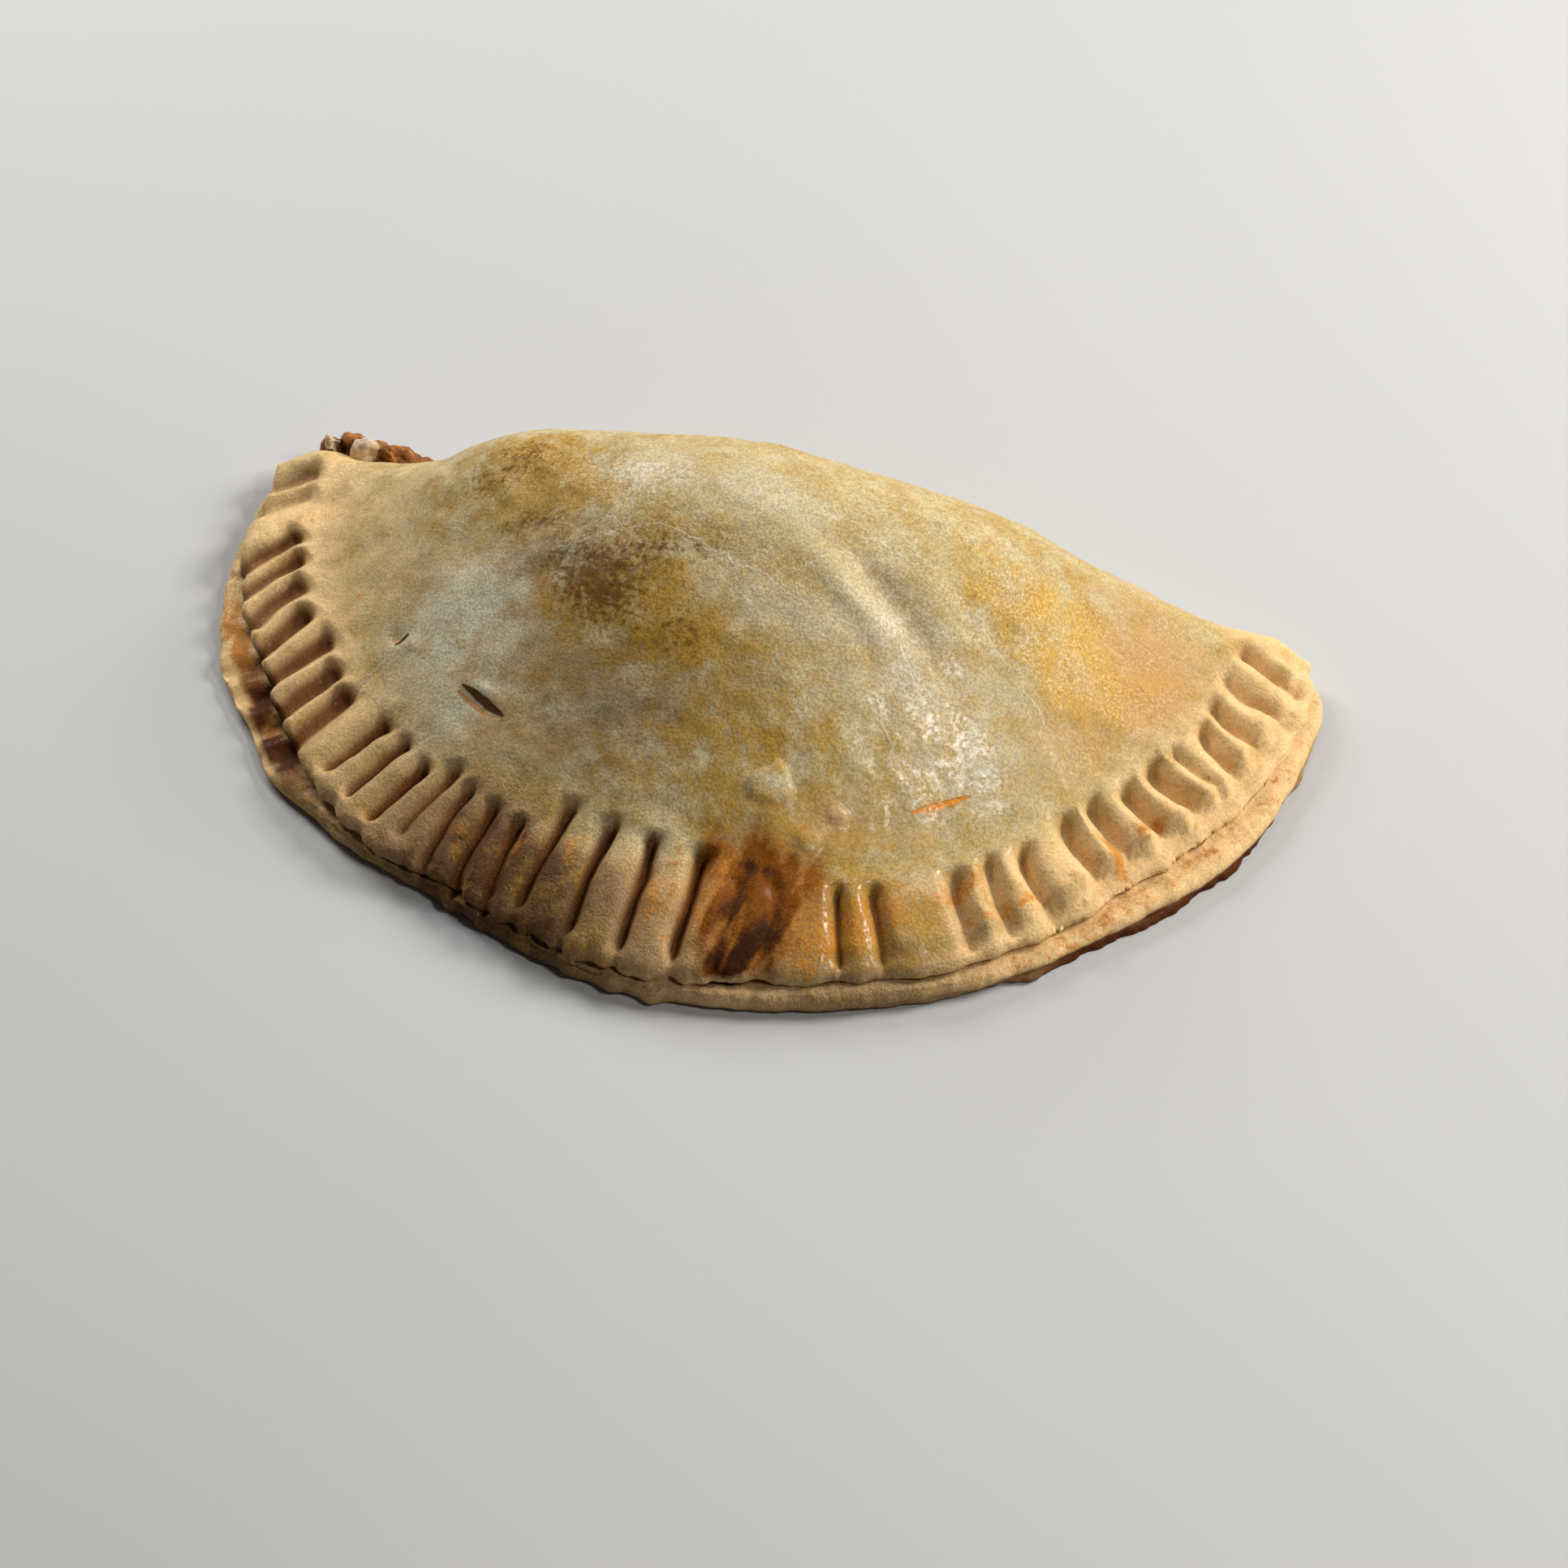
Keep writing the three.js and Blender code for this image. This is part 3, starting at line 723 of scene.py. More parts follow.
@dataclass
class Baking:
    """Where the bake and the glaze coloured the crust, and where shade and highlights are painted, as stains
    on the plan and bands round the rim.
    """

    gold: tuple[Patch, ...] = (
        Patch(-14, -34, 13, 10, 10, 0.85), Patch(-3, -40, 8, 6, 0, 0.75), Patch(-30, -22, 9, 5, 30, 0.6),
        Patch(-22, -20, 8, 5, 0, 0.55), Patch(10, -52, 12, 6, 0, 0.42), Patch(-33, -14, 10, 8, 0, 0.95),
        Patch(40, -20, 12, 10, 0, 0.5), Patch(20, -60, 14, 5, 15, 0.5), Patch(9, -62, 6, 6, 0, 0.6),
        Patch(-25, -49, 5, 3, 0, 0.45), Patch(5, -46, 16, 9, 0, 0.22), Patch(21, -46, 10, 8, 0, 0.22),
        Patch(-8, -55, 10, 4, 0, 0.3), Patch(25.5, -71, 8, 10, 0, 0.7), Patch(35, -66, 9, 8, 0, 0.6),
    )
    scorch: tuple[Patch, ...] = (
        Patch(-19.5, -32, 7.5, 4.5, -20, 0.62), Patch(-15, -36.5, 6, 4.5, 0, 0.5),
        Patch(-29.5, -24, 5, 3, 20, 0.45), Patch(-10, -29.5, 8, 3, 10, 0.42),
        Patch(-4, -40, 5, 3.5, 0, 0.4), Patch(-34, -12, 7, 5.5, 0, 0.44), Patch(-40, -17, 4, 4, 0, 0.25),
    )
    yolk: tuple[Patch, ...] = (
        Patch(-33.4, -12, 5.5, 4.5, 0, 0.45), Patch(43.6, -14.7, 2.6, 5, -30, 0.62),
        Patch(45.6, -18.2, 4.5, 3, 20, 0.5), Patch(39, -13.9, 7, 3, -15, 0.5),
        Patch(50.3, -18.5, 6, 7, 0, 0.42), Patch(33, -18, 7, 5, -30, 0.34), Patch(48, -25, 7, 6, 0, 0.35),
        Patch(33, -42, 13, 10, 0, 0.34), Patch(17, -42, 8, 6, 0, 0.18), Patch(13, -50, 9, 5, 0, 0.15),
    )
    orange: tuple[Patch, ...] = (
        Patch(-35, -10.5, 4, 3, 0, 0.3), Patch(-54.6, -29.8, 0.9, 0.7, 0, 0.9),
        Patch(-46.8, -37.6, 0.9, 0.7, 0, 0.8), Patch(60, -45.8, 1.3, 4, 37, 0.9),
        Patch(55.5, -18.5, 3, 5, 0, 0.32), Patch(58.5, -24, 2.5, 4, 20, 0.3),
        Patch(35.6, -48, 4.2, 0.9, 38, 0.9), Patch(31, -67, 4, 8, -24, 0.55),
        Patch(25, -72, 2, 7, -19, 0.5), Patch(14, -70, 9, 10, 0, 1.0), Patch(41, -58, 2, 6, -35, 0.6),
        Patch(1, -73.5, 2, 5.5, 0, 0.5), Patch(-12, -67.5, 1.6, 4, 10, 0.5),
        Patch(-20, -66, 1.6, 4, 15, 0.42), Patch(-29, -66, 1.5, 4, 22, 0.4),
    )
    burnt: tuple[Patch, ...] = (
        Patch(12.3, -73.5, 4.2, 8.5, 4, 1.6), Patch(18, -72.5, 4, 8.5, -12, 1.6),
        Patch(11, -65, 5, 4.5, 0, 1.0), Patch(17.5, -64.5, 4.5, 2.6, 0, 0.9),
    )
    char: tuple[Patch, ...] = (
        Patch(11.8, -74, 2.2, 6.5, -14, 1.0), Patch(17.6, -74.6, 2.8, 5, -28, 1.2),
        Patch(14, -77.5, 4.5, 2.6, 0, 0.9), Patch(11.7, -64.8, 2.2, 1.4, 0, 0.7),
        Patch(16.3, -64.5, 1.6, 1, 0, 0.7),
    )
    # grey-brown patches of the bake, and painted shade on the front of the mound and in the hollow by the
    # dent right of the crown
    grey: tuple[Patch, ...] = (
        Patch(-29.3, -29.5, 6, 5, 0, 0.7), Patch(-13.3, -43.5, 8, 4, 0, 0.7),
        Patch(-24, -38, 7, 8, 0, 0.5), Patch(-11, -48.5, 15, 8, 0, 0.85), Patch(8, -47, 10, 7, 0, 0.45),
        Patch(23.5, -26.6, 8, 2.8, -33, 0.4), Patch(29, -32, 4, 3, 0, 0.25),
    )
    # pale dough, and painted highlights on the crest, the crown and the glossy right front
    pale: tuple[Patch, ...] = (
        Patch(-36, -36, 11, 9, 0, 0.9), Patch(-33, -48, 9, 5, 30, 0.6), Patch(-14, -15, 8, 4, 0, 0.4),
        Patch(3, -19, 14, 6, 0, 0.45), Patch(34, -39, 13, 10, 0, 0.58), Patch(23, -29, 9, 8, 0, 0.4),
        Patch(8, -33, 12, 6, 0, 0.35), Patch(12.9, -54.1, 2.4, 1.9, 0, 0.75),
    )
    gloss: tuple[Patch, ...] = (
        Patch(35, -41, 13, 11, 0, 0.9), Patch(-14, -15, 9, 4, 0, 0.45), Patch(3, -19, 14, 5, 0, 0.6),
        Patch(30, -56, 14, 6, 20, 0.8), Patch(15, -66, 9, 8, 0, 0.4), Patch(28, -68, 10, 10, 0, 0.8),
        Patch(12, -54, 10, 7, 0, 0.3), Patch(42, -20, 9, 8, 0, 0.12),
    )
    flank_tan: tuple[Patch, ...] = (
        Patch(60, -14, 16, 14, 0, 0.85), Patch(52, -34, 10, 9, 0, 0.6), Patch(-60, -16, 13, 12, 0, 0.12),
        Patch(-52, -28, 8, 8, 0, 0.1), Patch(22, -56, 16, 6, 15, 0.5), Patch(-20, -54, 14, 5, -10, 0.45),
    )
    shoulder_tan: tuple[Patch, ...] = (Patch(-60, -14, 13, 12, 0, 0.5), Patch(-52, -28, 8, 8, 0, 0.3))
    crackle: tuple[Patch, ...] = (
        Patch(-16, -27, 12, 5, 0, 0.9), Patch(2, -28.5, 12, 5, -10, 1.0), Patch(18, -20, 9, 5, -15, 0.8),
        Patch(16, -30, 8, 6, 0, 0.6), Patch(31, -38, 5, 8, 30, 0.9), Patch(-27, -26, 6, 4, 0, 0.6),
    )
    rim_tan: tuple[Wave, ...] = (
        Wave(20, 30, 0.1), Wave(108, 26, 0.3), Wave(150, 20, 0.2), Wave(130, 8, -0.2), Wave(166, 14, -0.25),
    )
    # browner dough and painted shade round the rim, strongest on the front left where the mound shades it
    rim_toast_and_shade: tuple[Wave, ...] = (Wave(106, 21, 1.0), Wave(67, 12, 0.56), Wave(138, 12, 0.1))
    rim_fade: Ramp = Ramp(8.0, 11.0)
    rim_ground: float = 0.7
    flank_off_rim: float = 0.7
    gold_on_lip: float = 0.25
    sheet_edge: Ramp = Ramp(-0.2, 0.9)
    past_edge: Ramp = Ramp(0.0, -0.4)
    under_at: Wave = Wave(35, 26, 1.2)
    spill_height: Ramp = Ramp(1.7, -0.6)
    crease_inner: Ramp = Ramp(0.9, -1.0)
    crease_outer: Ramp = Ramp(-4.2, 1.6)
    crease_height: Ramp = Ramp(5.4, -0.8)
    crease_glaze: float = 0.4
    leak_at: Wave = Wave(141, 8, 2.4)
    leak_noise: Noise = Noise(41, 6.0, 2)
    leak_ground: float = 0.9
    notch: Ramp = Ramp(0.15, 0.55)
    notch_ground: float = 0.6
    lip_at: Wave = Wave(147, 16, 1.0)
    lip_fade: Ramp = Ramp(-2.3, -1.8)
    lip_fade_share: float = 0.85
    ridge_ends: Wave = Wave(40, 26, 1.1)
    ridge_across: Wave = Wave(5.2, 1.5, 1.0)
    ridge_noise: Noise = Noise(61, 5.0, 2)
    ridge_spots: Point = (0.5, 0.7)
    # browner dough and painted shade in the fork grooves: weak on the right, full from the front round to the
    # left, darker where deeper
    groove_round: Ramp = Ramp(52.0, 26.0)
    groove_ground: float = 0.15
    groove_depth: Ramp = Ramp(0.7, 1.5)
    burn_slant: float = 0.45
    burn_stretch: float = 0.3
    burn_noise: Noise = Noise(31, 2.2, 3)
    burnt_streaks: Point = (1.0, 0.7)
    char_streaks: Point = (0.8, 0.9)
    streak_turn: float = 50.0
    streak_stretch: float = 0.3
    streak_noise: Noise = Noise(81, 6.0, 4)
    streak_spots: Point = (0.5, 0.6)

    def juices(self, form: DoughForm, points: Array) -> tuple[Array, Array]:
        """What ran at the rim.

        Args:
            form: the dough's form.
            points: rows of x, y, z in millimetres.

        Returns:
            Leaked sauce, with painted shade at the notches, and glaze in crease and ridges, from 0 to 1 for
            each point.
        """
        x, y, z = points.T
        angle = form.plan_angle(x, y)
        inset = form.inset(x, y)
        beyond = self.past_edge.over(inset)
        under = unit(self.under_at.over(angle))
        spill = self.spill_height.over(z) * under * beyond
        in_crease = self.crease_inner.over(inset) * self.crease_outer.over(inset) * self.crease_height.over(z)
        # painted shade: the leaked sauce is laid darker in the notches of the lip
        notch_shade = mix(self.notch_ground, 1.0, self.notch.over(form.drawn_in(angle)))
        leak_and_notch_shade = self.leak_at.over(angle) * in_crease * notch_shade
        leak_and_notch_shade = leak_and_notch_shade * ease(self.leak_ground + self.leak_noise.at(points))
        lip = self.lip_at.over(angle) * beyond * (1.0 - self.lip_fade_share * self.lip_fade.over(inset))
        ridge_end = self.ridge_across.over(inset) * unit(self.ridge_ends.over(angle))
        ridge_end *= unit(spotted(self.ridge_spots, self.ridge_noise.at(points)))
        glaze = lip + self.crease_glaze * under * in_crease + ridge_end
        return unit(np.maximum(leak_and_notch_shade, spill)), unit(glaze)

    def burn_streaks(self, form: DoughForm, x: Array, y: Array) -> Array:
        """Slanted streaks of the burnt patch.

        Args:
            form: the dough's form.
            x: plan x of each point.
            y: plan y of each point.

        Returns:
            One value about -1 to 1 for each point.
        """
        radius = np.hypot(x, y)
        slanted = np.radians(form.plan_angle(x, y)) * form.rim_radius - self.burn_slant * radius
        return self.burn_noise.at(rows(slanted, self.burn_stretch * radius, 0.0 * radius))

    def crown_streaks(self, form: DoughForm, x: Array, y: Array) -> Array:
        """Streaks that run down from the crown.

        Args:
            form: the dough's form.
            x: plan x of each point.
            y: plan y of each point.

        Returns:
            One value from 0 to 1 for each point.
        """
        off_x, off_y = x - form.centre[0], y - form.centre[1]
        round_crown = np.arctan2(off_y, off_x) * self.streak_turn
        flow = rows(round_crown, self.streak_stretch * np.hypot(off_x, off_y), 0.0 * x)
        return unit(spotted(self.streak_spots, self.streak_noise.at(flow)))

    def masks(self, form: DoughForm, points: Array) -> dict[Mask, Array]:
        """Works out every mask of the crust.

        Args:
            form: the dough's form.
            points: rows of x, y, z in millimetres.

        Returns:
            One value from 0 to 1 for each point, by mask.
        """
        x, y, _ = points.T
        angle = form.plan_angle(x, y)
        inset = form.inset(x, y)
        rim = 1.0 - self.rim_fade.over(inset)
        rim_share = self.rim_ground + summed(self.rim_tan, angle)
        on_sheet = self.sheet_edge.over(inset)
        sauce, glaze = self.juices(form, points)
        streak = self.burn_streaks(form, x, y)
        groove_brown_shade_share = unit(self.groove_ground + self.groove_round.over(angle))
        burnt = gather(self.burnt, x, y) * spotted(self.burnt_streaks, streak)
        char = gather(self.char, x, y) * spotted(self.char_streaks, streak)
        return {
            Mask.TAN: unit(rim * rim_share + gather(self.shoulder_tan, x, y)),
            Mask.FLANK: gather(self.flank_tan, x, y) * (1.0 - self.flank_off_rim * rim),
            Mask.GOLD: gather(self.gold, x, y) * mix(self.gold_on_lip, 1.0, on_sheet),
            Mask.SCORCH: gather(self.scorch, x, y),
            Mask.YOLK: gather(self.yolk, x, y),
            Mask.ORANGE: np.maximum(gather(self.orange, x, y) * on_sheet, glaze),
            Mask.BURNT: unit(burnt) * on_sheet,
            Mask.CHAR: unit(char) * on_sheet,
            Mask.GREY: gather(self.grey, x, y),
            Mask.PALE: gather(self.pale, x, y),
            Mask.SAUCE: sauce,
            Mask.GLOSS: gather(self.gloss, x, y),
            Mask.POCKET: groove_brown_shade_share * self.groove_depth.over(form.mark_depth(x, y)),
            Mask.CRACKLE: gather(self.crackle, x, y),
            Mask.TOAST: unit(rim * summed(self.rim_toast_and_shade, angle)),
            Mask.STREAK: self.crown_streaks(form, x, y),
        }


@dataclass(frozen=True)
class Stations:
    """Columns of the skin.

    Each has the point where it meets the edge, its heading in, its knee at the mound's foot, and how much its
    rings crowd towards the edge.
    """

    edge: Array
    inward: Array
    knee: Array
    crowd: Array
    on_fold: Array
    angle: Array
    from_tip: Array

    def every(self, step: int) -> "Stations":
        """Every so many of the columns."""
        return Stations(*(values[::step] for values in vars(self).values()))


@dataclass
class Crust:
    """The baked dough as a fine skin over the same form as the solid."""

    form: DoughForm
    baking: Baking
    rim_columns: int = 704
    fold_columns: int = 320
    fold_crowd: float = 0.6
    band_rings: int = 36
    edge_rings: int = 18
    dome_levels: tuple[tuple[int, float, int], ...] = (
        (16, 0.12, 8), (8, 0.3, 14), (4, 0.55, 22), (2, 1.0, 38),
    )
    base_levels: tuple[int, ...] = (2, 4, 8, 16)
    fold_turn_share: float = 0.86
    fold_under: float = 0.8
    tip_turn: Ramp = Ramp(0.0, 26.0)
    tip_close: Ramp = Ramp(0.0, 4.0)
    column_lean: float = 0.55
    edge_run: float = 1.5
    edge_drop: float = 1.0
    crease_inset: float = 0.9
    lip_height: float = 2.7
    lip_rises: tuple[Wave, ...] = (Wave(20, 24, 0.9), Wave(70, 14, 0.6))
    lip_below_top: float = 0.5
    notches: Wave = Wave(143, 13, 1.1)
    base_inset: float = 2.6
    belly_height: float = 1.2
    groove_rise: float = 0.07
    mouth: Patch = Patch(-64.5, 0, 7.5, 60, by=2.6)
    mouth_height: Wave = Wave(3.6, 1.5, 1.0)
    fringe: Wave = Wave(36, 26, 1.25)
    fringe_reach: float = 1.2
    fringe_noise: Noise = Noise(13, 4.0, 3)
    fringe_spots: Point = (0.55, 0.8)
    fringe_most: float = 1.2
    crumble: Wave = Wave(102, 26, 1.0)
    crumble_seal: float = 0.5
    seal_noise: Noise = Noise(17, 9.0, 3)
    seal_spots: Point = (0.75, 0.9)
    seal_share: float = 0.9
    seal_below_top: float = 0.7
    flakes: tuple[Wave, ...] = (
        Wave(87.5, 1.2, 1.1), Wave(91.5, 0.8, 0.6), Wave(106.6, 0.9, 0.7), Wave(110.6, 0.9, 0.8),
        Wave(151, 3.5, 0.8), Wave(143, 2.5, -0.6), Wave(136, 3.0, 0.6), Wave(129, 2.0, -0.5),
    )
    dents: tuple[Patch, ...] = (
        Patch(-46.2, -37.4, 1.5, 1, -35, -0.9), Patch(-44.2, -38.8, 1.3, 0.8, -35, 0.5),
        Patch(-30.2, -47.2, 3.6, 0.8, -31, 0.45), Patch(-30.6, -48.6, 3.2, 0.6, -31, -0.7),
        Patch(-49.2, -43.4, 3.6, 0.7, 49, -0.6), Patch(-48.2, -42.6, 3.4, 0.6, 49, 0.3),
        Patch(-14.8, -48, 0.7, 1.5, 0, 0.3), Patch(22.5, -26.8, 8.5, 2.2, -33, -1.1),
        Patch(18, -29.4, 7.5, 2, -30, 0.8), Patch(29, -24.5, 7, 2.4, -35, 0.5),
        Patch(-25, -31, 5, 2.2, 20, -0.5), Patch(-39, -33, 2, 5, 15, 0.4), Patch(-63.5, 2, 6, 4.5, 0, -2.7),
    )
    blisters: tuple[Patch, ...] = (
        Patch(12.9, -54.6, 3, 2.3, 20, 0.7), Patch(22.3, -54.9, 1.5, 1.2, 0, 0.4),
        Patch(20, -59.3, 1.8, 1.3, 0, 0.25),
    )
    blister_edge: float = 0.4
    blister_slope: float = 4.0
    blister_sway: float = 0.25
    blister_noise: Noise = Noise(23, 2.4, 2)
    lumpy: tuple[Patch, ...] = (Patch(-33, -19, 13, 9, 0, 0.42), Patch(14, -58, 12, 6, 0, 0.25))
    lumpy_noise: Noise = Noise(7, 4.6, 2)
    rough_rim: Ramp = Ramp(6.0, 10.0)
    slow_noise: Noise = Noise(3, 15.0, 3)
    slow_by: Point = (0.4, 0.16)
    quick_noise: Noise = Noise(5, 3.6, 3)
    quick_by: Point = (0.15, 0.19)
    ragged_noise: Noise = Noise(9, 2.8, 3)
    ragged_by: Point = (0.2, 0.6)
    ragged_from: float = 0.2
    ragged_run: Point = (0.3, 3.0)
    base_calm: Ramp = Ramp(0.0, 1.5)

    def stations(self) -> Stations:
        """Lays out the columns.

        Returns:
            The columns round the rim from the right tip, then back along the fold.
        """
        form = self.form
        angle = np.linspace(0.0, HALF_TURN, self.rim_columns + 1)
        from_tip = np.minimum(angle, HALF_TURN - angle)
        rim_edge = rows(*form.rim_point(angle, form.top_radius(angle)))
        centre = np.array(form.centre)
        turn = 1.0 - self.tip_turn.over(from_tip)
        to_fold = np.arctan2(-rim_edge[:, 1], -rim_edge[:, 0])
        to_centre = np.arctan2(centre[1] - rim_edge[:, 1], centre[0] - rim_edge[:, 0])
        swing = np.arctan2(np.sin(to_centre - to_fold), np.cos(to_centre - to_fold))
        lean = np.radians(self.column_lean * form.press_value(angle, "lean"))
        heading = to_fold + swing * turn - lean * (1.0 - turn)
        rim_inward = rows(np.cos(heading), np.sin(heading))
        width = form.press_value(angle, "end") + form.knee_beyond_reach
        rim_knee = rim_edge + rim_inward * width[:, None]
        rim_knee = mix(rim_knee, mix(centre, rim_edge, self.fold_turn_share), (turn**2)[:, None])

        even = np.arange(1, self.fold_columns) / self.fold_columns
        share = mix(even, 0.5 - 0.5 * np.cos(np.pi * even), self.fold_crowd)
        fold_x = mix(rim_edge[-1, 0], rim_edge[0, 0], share)
        fold_edge = rows(fold_x, form.fold_y(fold_x))
        fold_inward = centre - fold_edge
        fold_inward /= np.linalg.norm(fold_inward, axis=1, keepdims=True)
        fold_knee = mix(centre, fold_edge, self.fold_turn_share)
        return Stations(
            edge=np.concatenate([rim_edge, fold_edge]),
            inward=np.concatenate([rim_inward, fold_inward]),
            knee=np.concatenate([rim_knee, fold_knee]),
            crowd=np.concatenate([1.0 + turn**2, np.full(len(share), 2.0)]),
            on_fold=np.concatenate([np.zeros(len(angle), bool), np.ones(len(share), bool)]),
            angle=np.concatenate([angle, np.where(share < 0.5, HALF_TURN, 0.0)]),
            from_tip=np.concatenate([from_tip, np.minimum(share, 1.0 - share)]),
        )

    def openness(self, stations: Stations) -> Array:
        """1 where the two sheets show at the edge, 0 at the tips and along the fold."""
        return np.where(stations.on_fold, 0.0, self.tip_close.over(stations.from_tip))

    def relief(self, x: Array, y: Array) -> Array:
        """Dents and blisters of the skin.

        Args:
            x: plan x of each point.
            y: plan y of each point.

        Returns:
            Rise of each point.
        """
        rise = summed(self.dents, x, y)
        sway = self.blister_sway * self.blister_noise.at(rows(x, y, 0.0 * x))
        for blister in self.blisters:
            cover = blister.over(x, y) / blister.by
            rise = rise + blister.by * ease((cover - self.blister_edge + sway) * self.blister_slope + 0.5)
        return rise

    def top_points(self, plan: Array, openness: Array) -> Array:
        """Points of the upper skin over the plan.

        Args:
            plan: rows of x, y.
            openness: how open the edge is in each point's column.

        Returns:
            Rows of x, y, z.
        """
        form = self.form
        x, y = plan.T
        angle = form.plan_angle(x, y)
        inset = np.maximum(form.inset(x, y), 0.0)
        near = unit(1.0 - inset / self.edge_run)
        rounding = self.edge_drop * (1.0 - np.sqrt(1.0 - near**2)) * openness
        skin = form.skin_height(x, y)
        marked = skin - form.mark_depth(x, y)
        level = form.edge_top(angle) + self.groove_rise * inset
        shelved = np.maximum(marked, np.minimum(skin, level))
        z = mix(marked, shelved, form.shelf_share_at(angle))
        return rows(x, y, z - rounding + self.relief(x, y))

    def rim_profile(self, stations: Stations, top: Array) -> Array:
        """The upper sheet's edge, the crease below it and the lower sheet's lip.

        Args:
            stations: the columns.
            top: points where the upper skin ends, one for each column.

        Returns:
            Points by ring, column and axis.
        """
        form = self.form
        angle = stations.angle
        upper = np.hypot(top[:, 0], top[:, 1])
        height = top[:, 2]
        lip = form.lip_radius(angle) + summed(self.flakes, angle)
        round_rim = rows(*form.rim_point(angle, lip), 0.0 * lip)
        crumbly = unit(self.crumble.over(angle))
        sealed = unit(spotted(self.seal_spots, self.seal_noise.at(round_rim))) * crumbly
        shut = np.maximum(self.crumble_seal * crumbly, self.seal_share * sealed)
        lip_top = self.lip_height + summed(self.lip_rises, angle)
        lip_top = lip_top - self.notches.over(angle) * form.drawn_in(angle)
        lip_top = np.minimum(mix(lip_top, height - self.seal_below_top, shut), height - self.lip_below_top)
        spill = unit(self.fringe.over(angle))
        ragged = spotted(self.fringe_spots, self.fringe_noise.at(round_rim))
        ragged = np.clip(ragged, 0.0, self.fringe_most)
        foot = spill * self.fringe_reach * ragged
        # radius and height of each knot, from the upper sheet's edge by the crease and the lip to the base
        profile = [
            (upper, height),
            (upper - 0.15, mix(height, lip_top, 0.45)),
            (upper - self.crease_inset * (1.0 - shut), lip_top + 0.12),
            (upper - 0.25, lip_top + 0.02),
            (mix(upper, lip, 0.5), lip_top),
            (lip - 0.55, lip_top - 0.35),
            (lip - 0.08, mix(lip_top, self.belly_height, 0.55)),
            (lip - 0.3 * spill, np.full_like(lip, self.belly_height)),
            (lip - 0.5 + foot, mix(0.4, 0.7, spill)),
            (mix(lip - self.base_inset, lip - 0.4 + foot, spill), np.zeros_like(lip)),
        ]
        knots = np.array(profile)
        places = np.linspace(0.0, len(profile) - 1.0, self.edge_rings + 1)[1:]
        rings = np.array([self.along(knots, place) for place in places])
        x, y = form.rim_point(angle, rings[:, 0])
        return np.stack([x, y, rings[:, 1]], axis=2)

    @staticmethod
    def along(knots: Array, place: float) -> Array:
        """Smooth curve through knots.

        Args:
            knots: the knots in order.
            place: where on the curve, counted in knots.

        Returns:
            The curve's point there.
        """
        last = len(knots) - 1
        k = min(int(place), last - 1)
        t = place - k
        p0, p1, p2, p3 = (knots[min(max(k + n, 0), last)] for n in (-1, 0, 1, 2))
        return 0.5 * (2 * p1 + (p2 - p0) * t + (2 * p0 - 5 * p1 + 4 * p2 - p3) * t**2
                      + (3 * p1 - p0 - 3 * p2 + p3) * t**3)

    def round_profile(self, stations: Stations, top: Array) -> Array:
        """The rounded edge of the fold and of the tips, with the burst mouth pressed in.

        Args:
            stations: the columns.
            top: points where the upper skin ends, one for each column.

        Returns:
            Points by ring, column and axis.
        """
        height = top[:, 2]
        curl = ease(stations.from_tip / self.form.fold_step_share)
        curled = mix(self.base_inset, self.fold_under * height, curl)
        under = np.where(stations.on_fold, curled, self.base_inset)
        rings = []
        for ring in range(1, self.edge_rings + 1):
            turn = math.pi / 2 * ring / self.edge_rings
            back = under * (1.0 - math.cos(turn))
            z = height * (1.0 - math.sin(turn))
            plan = stations.edge + stations.inward * back[:, None]
            opened = self.mouth.over(plan[:, 0], plan[:, 1]) * self.mouth_height.over(z)
            plan = plan + stations.inward * (opened * stations.on_fold)[:, None]
            rings.append(np.column_stack([plan, z]))
        return np.array(rings)

    def skin(self) -> tuple[Array, Array]:
        """Sews the whole skin.

        Returns:
            Points and triangles, before the fine roughness.
        """
        everything = self.stations()
        centre = np.array(self.form.centre)
        sheet = RingSkin()
        sheet.add(self.top_points(centre[None, :], np.zeros(1)))
        begin = 0.0
        for step, reach, rings in self.dome_levels:
            columns = everything.every(step)
            openness = self.openness(columns)
            for share in np.linspace(begin, reach, rings + 1)[1:]:
                sheet.add(self.top_points(mix(centre, columns.knee, share), openness))
            begin = reach
        openness = self.openness(everything)
        for ring in range(1, self.band_rings + 1):
            share = ((1.0 - ring / self.band_rings) ** everything.crowd)[:, None]
            top = self.top_points(mix(everything.edge, everything.knee, share), openness)
            sheet.add(top)
        open_edge = self.rim_profile(everything, top)
        shut_edge = self.round_profile(everything, top)
        for opened, shut in zip(open_edge, shut_edge):
            bottom = mix(shut, opened, openness[:, None])
            sheet.add(bottom)
        base = np.array([*centre, 0.0])
        for number, step in enumerate(self.base_levels):
            share = 1.0 - (number + 1) / (len(self.base_levels) + 1)
            sheet.add(mix(base, bottom[::step], share))
        sheet.add(base[None, :])
        return sheet.finish()

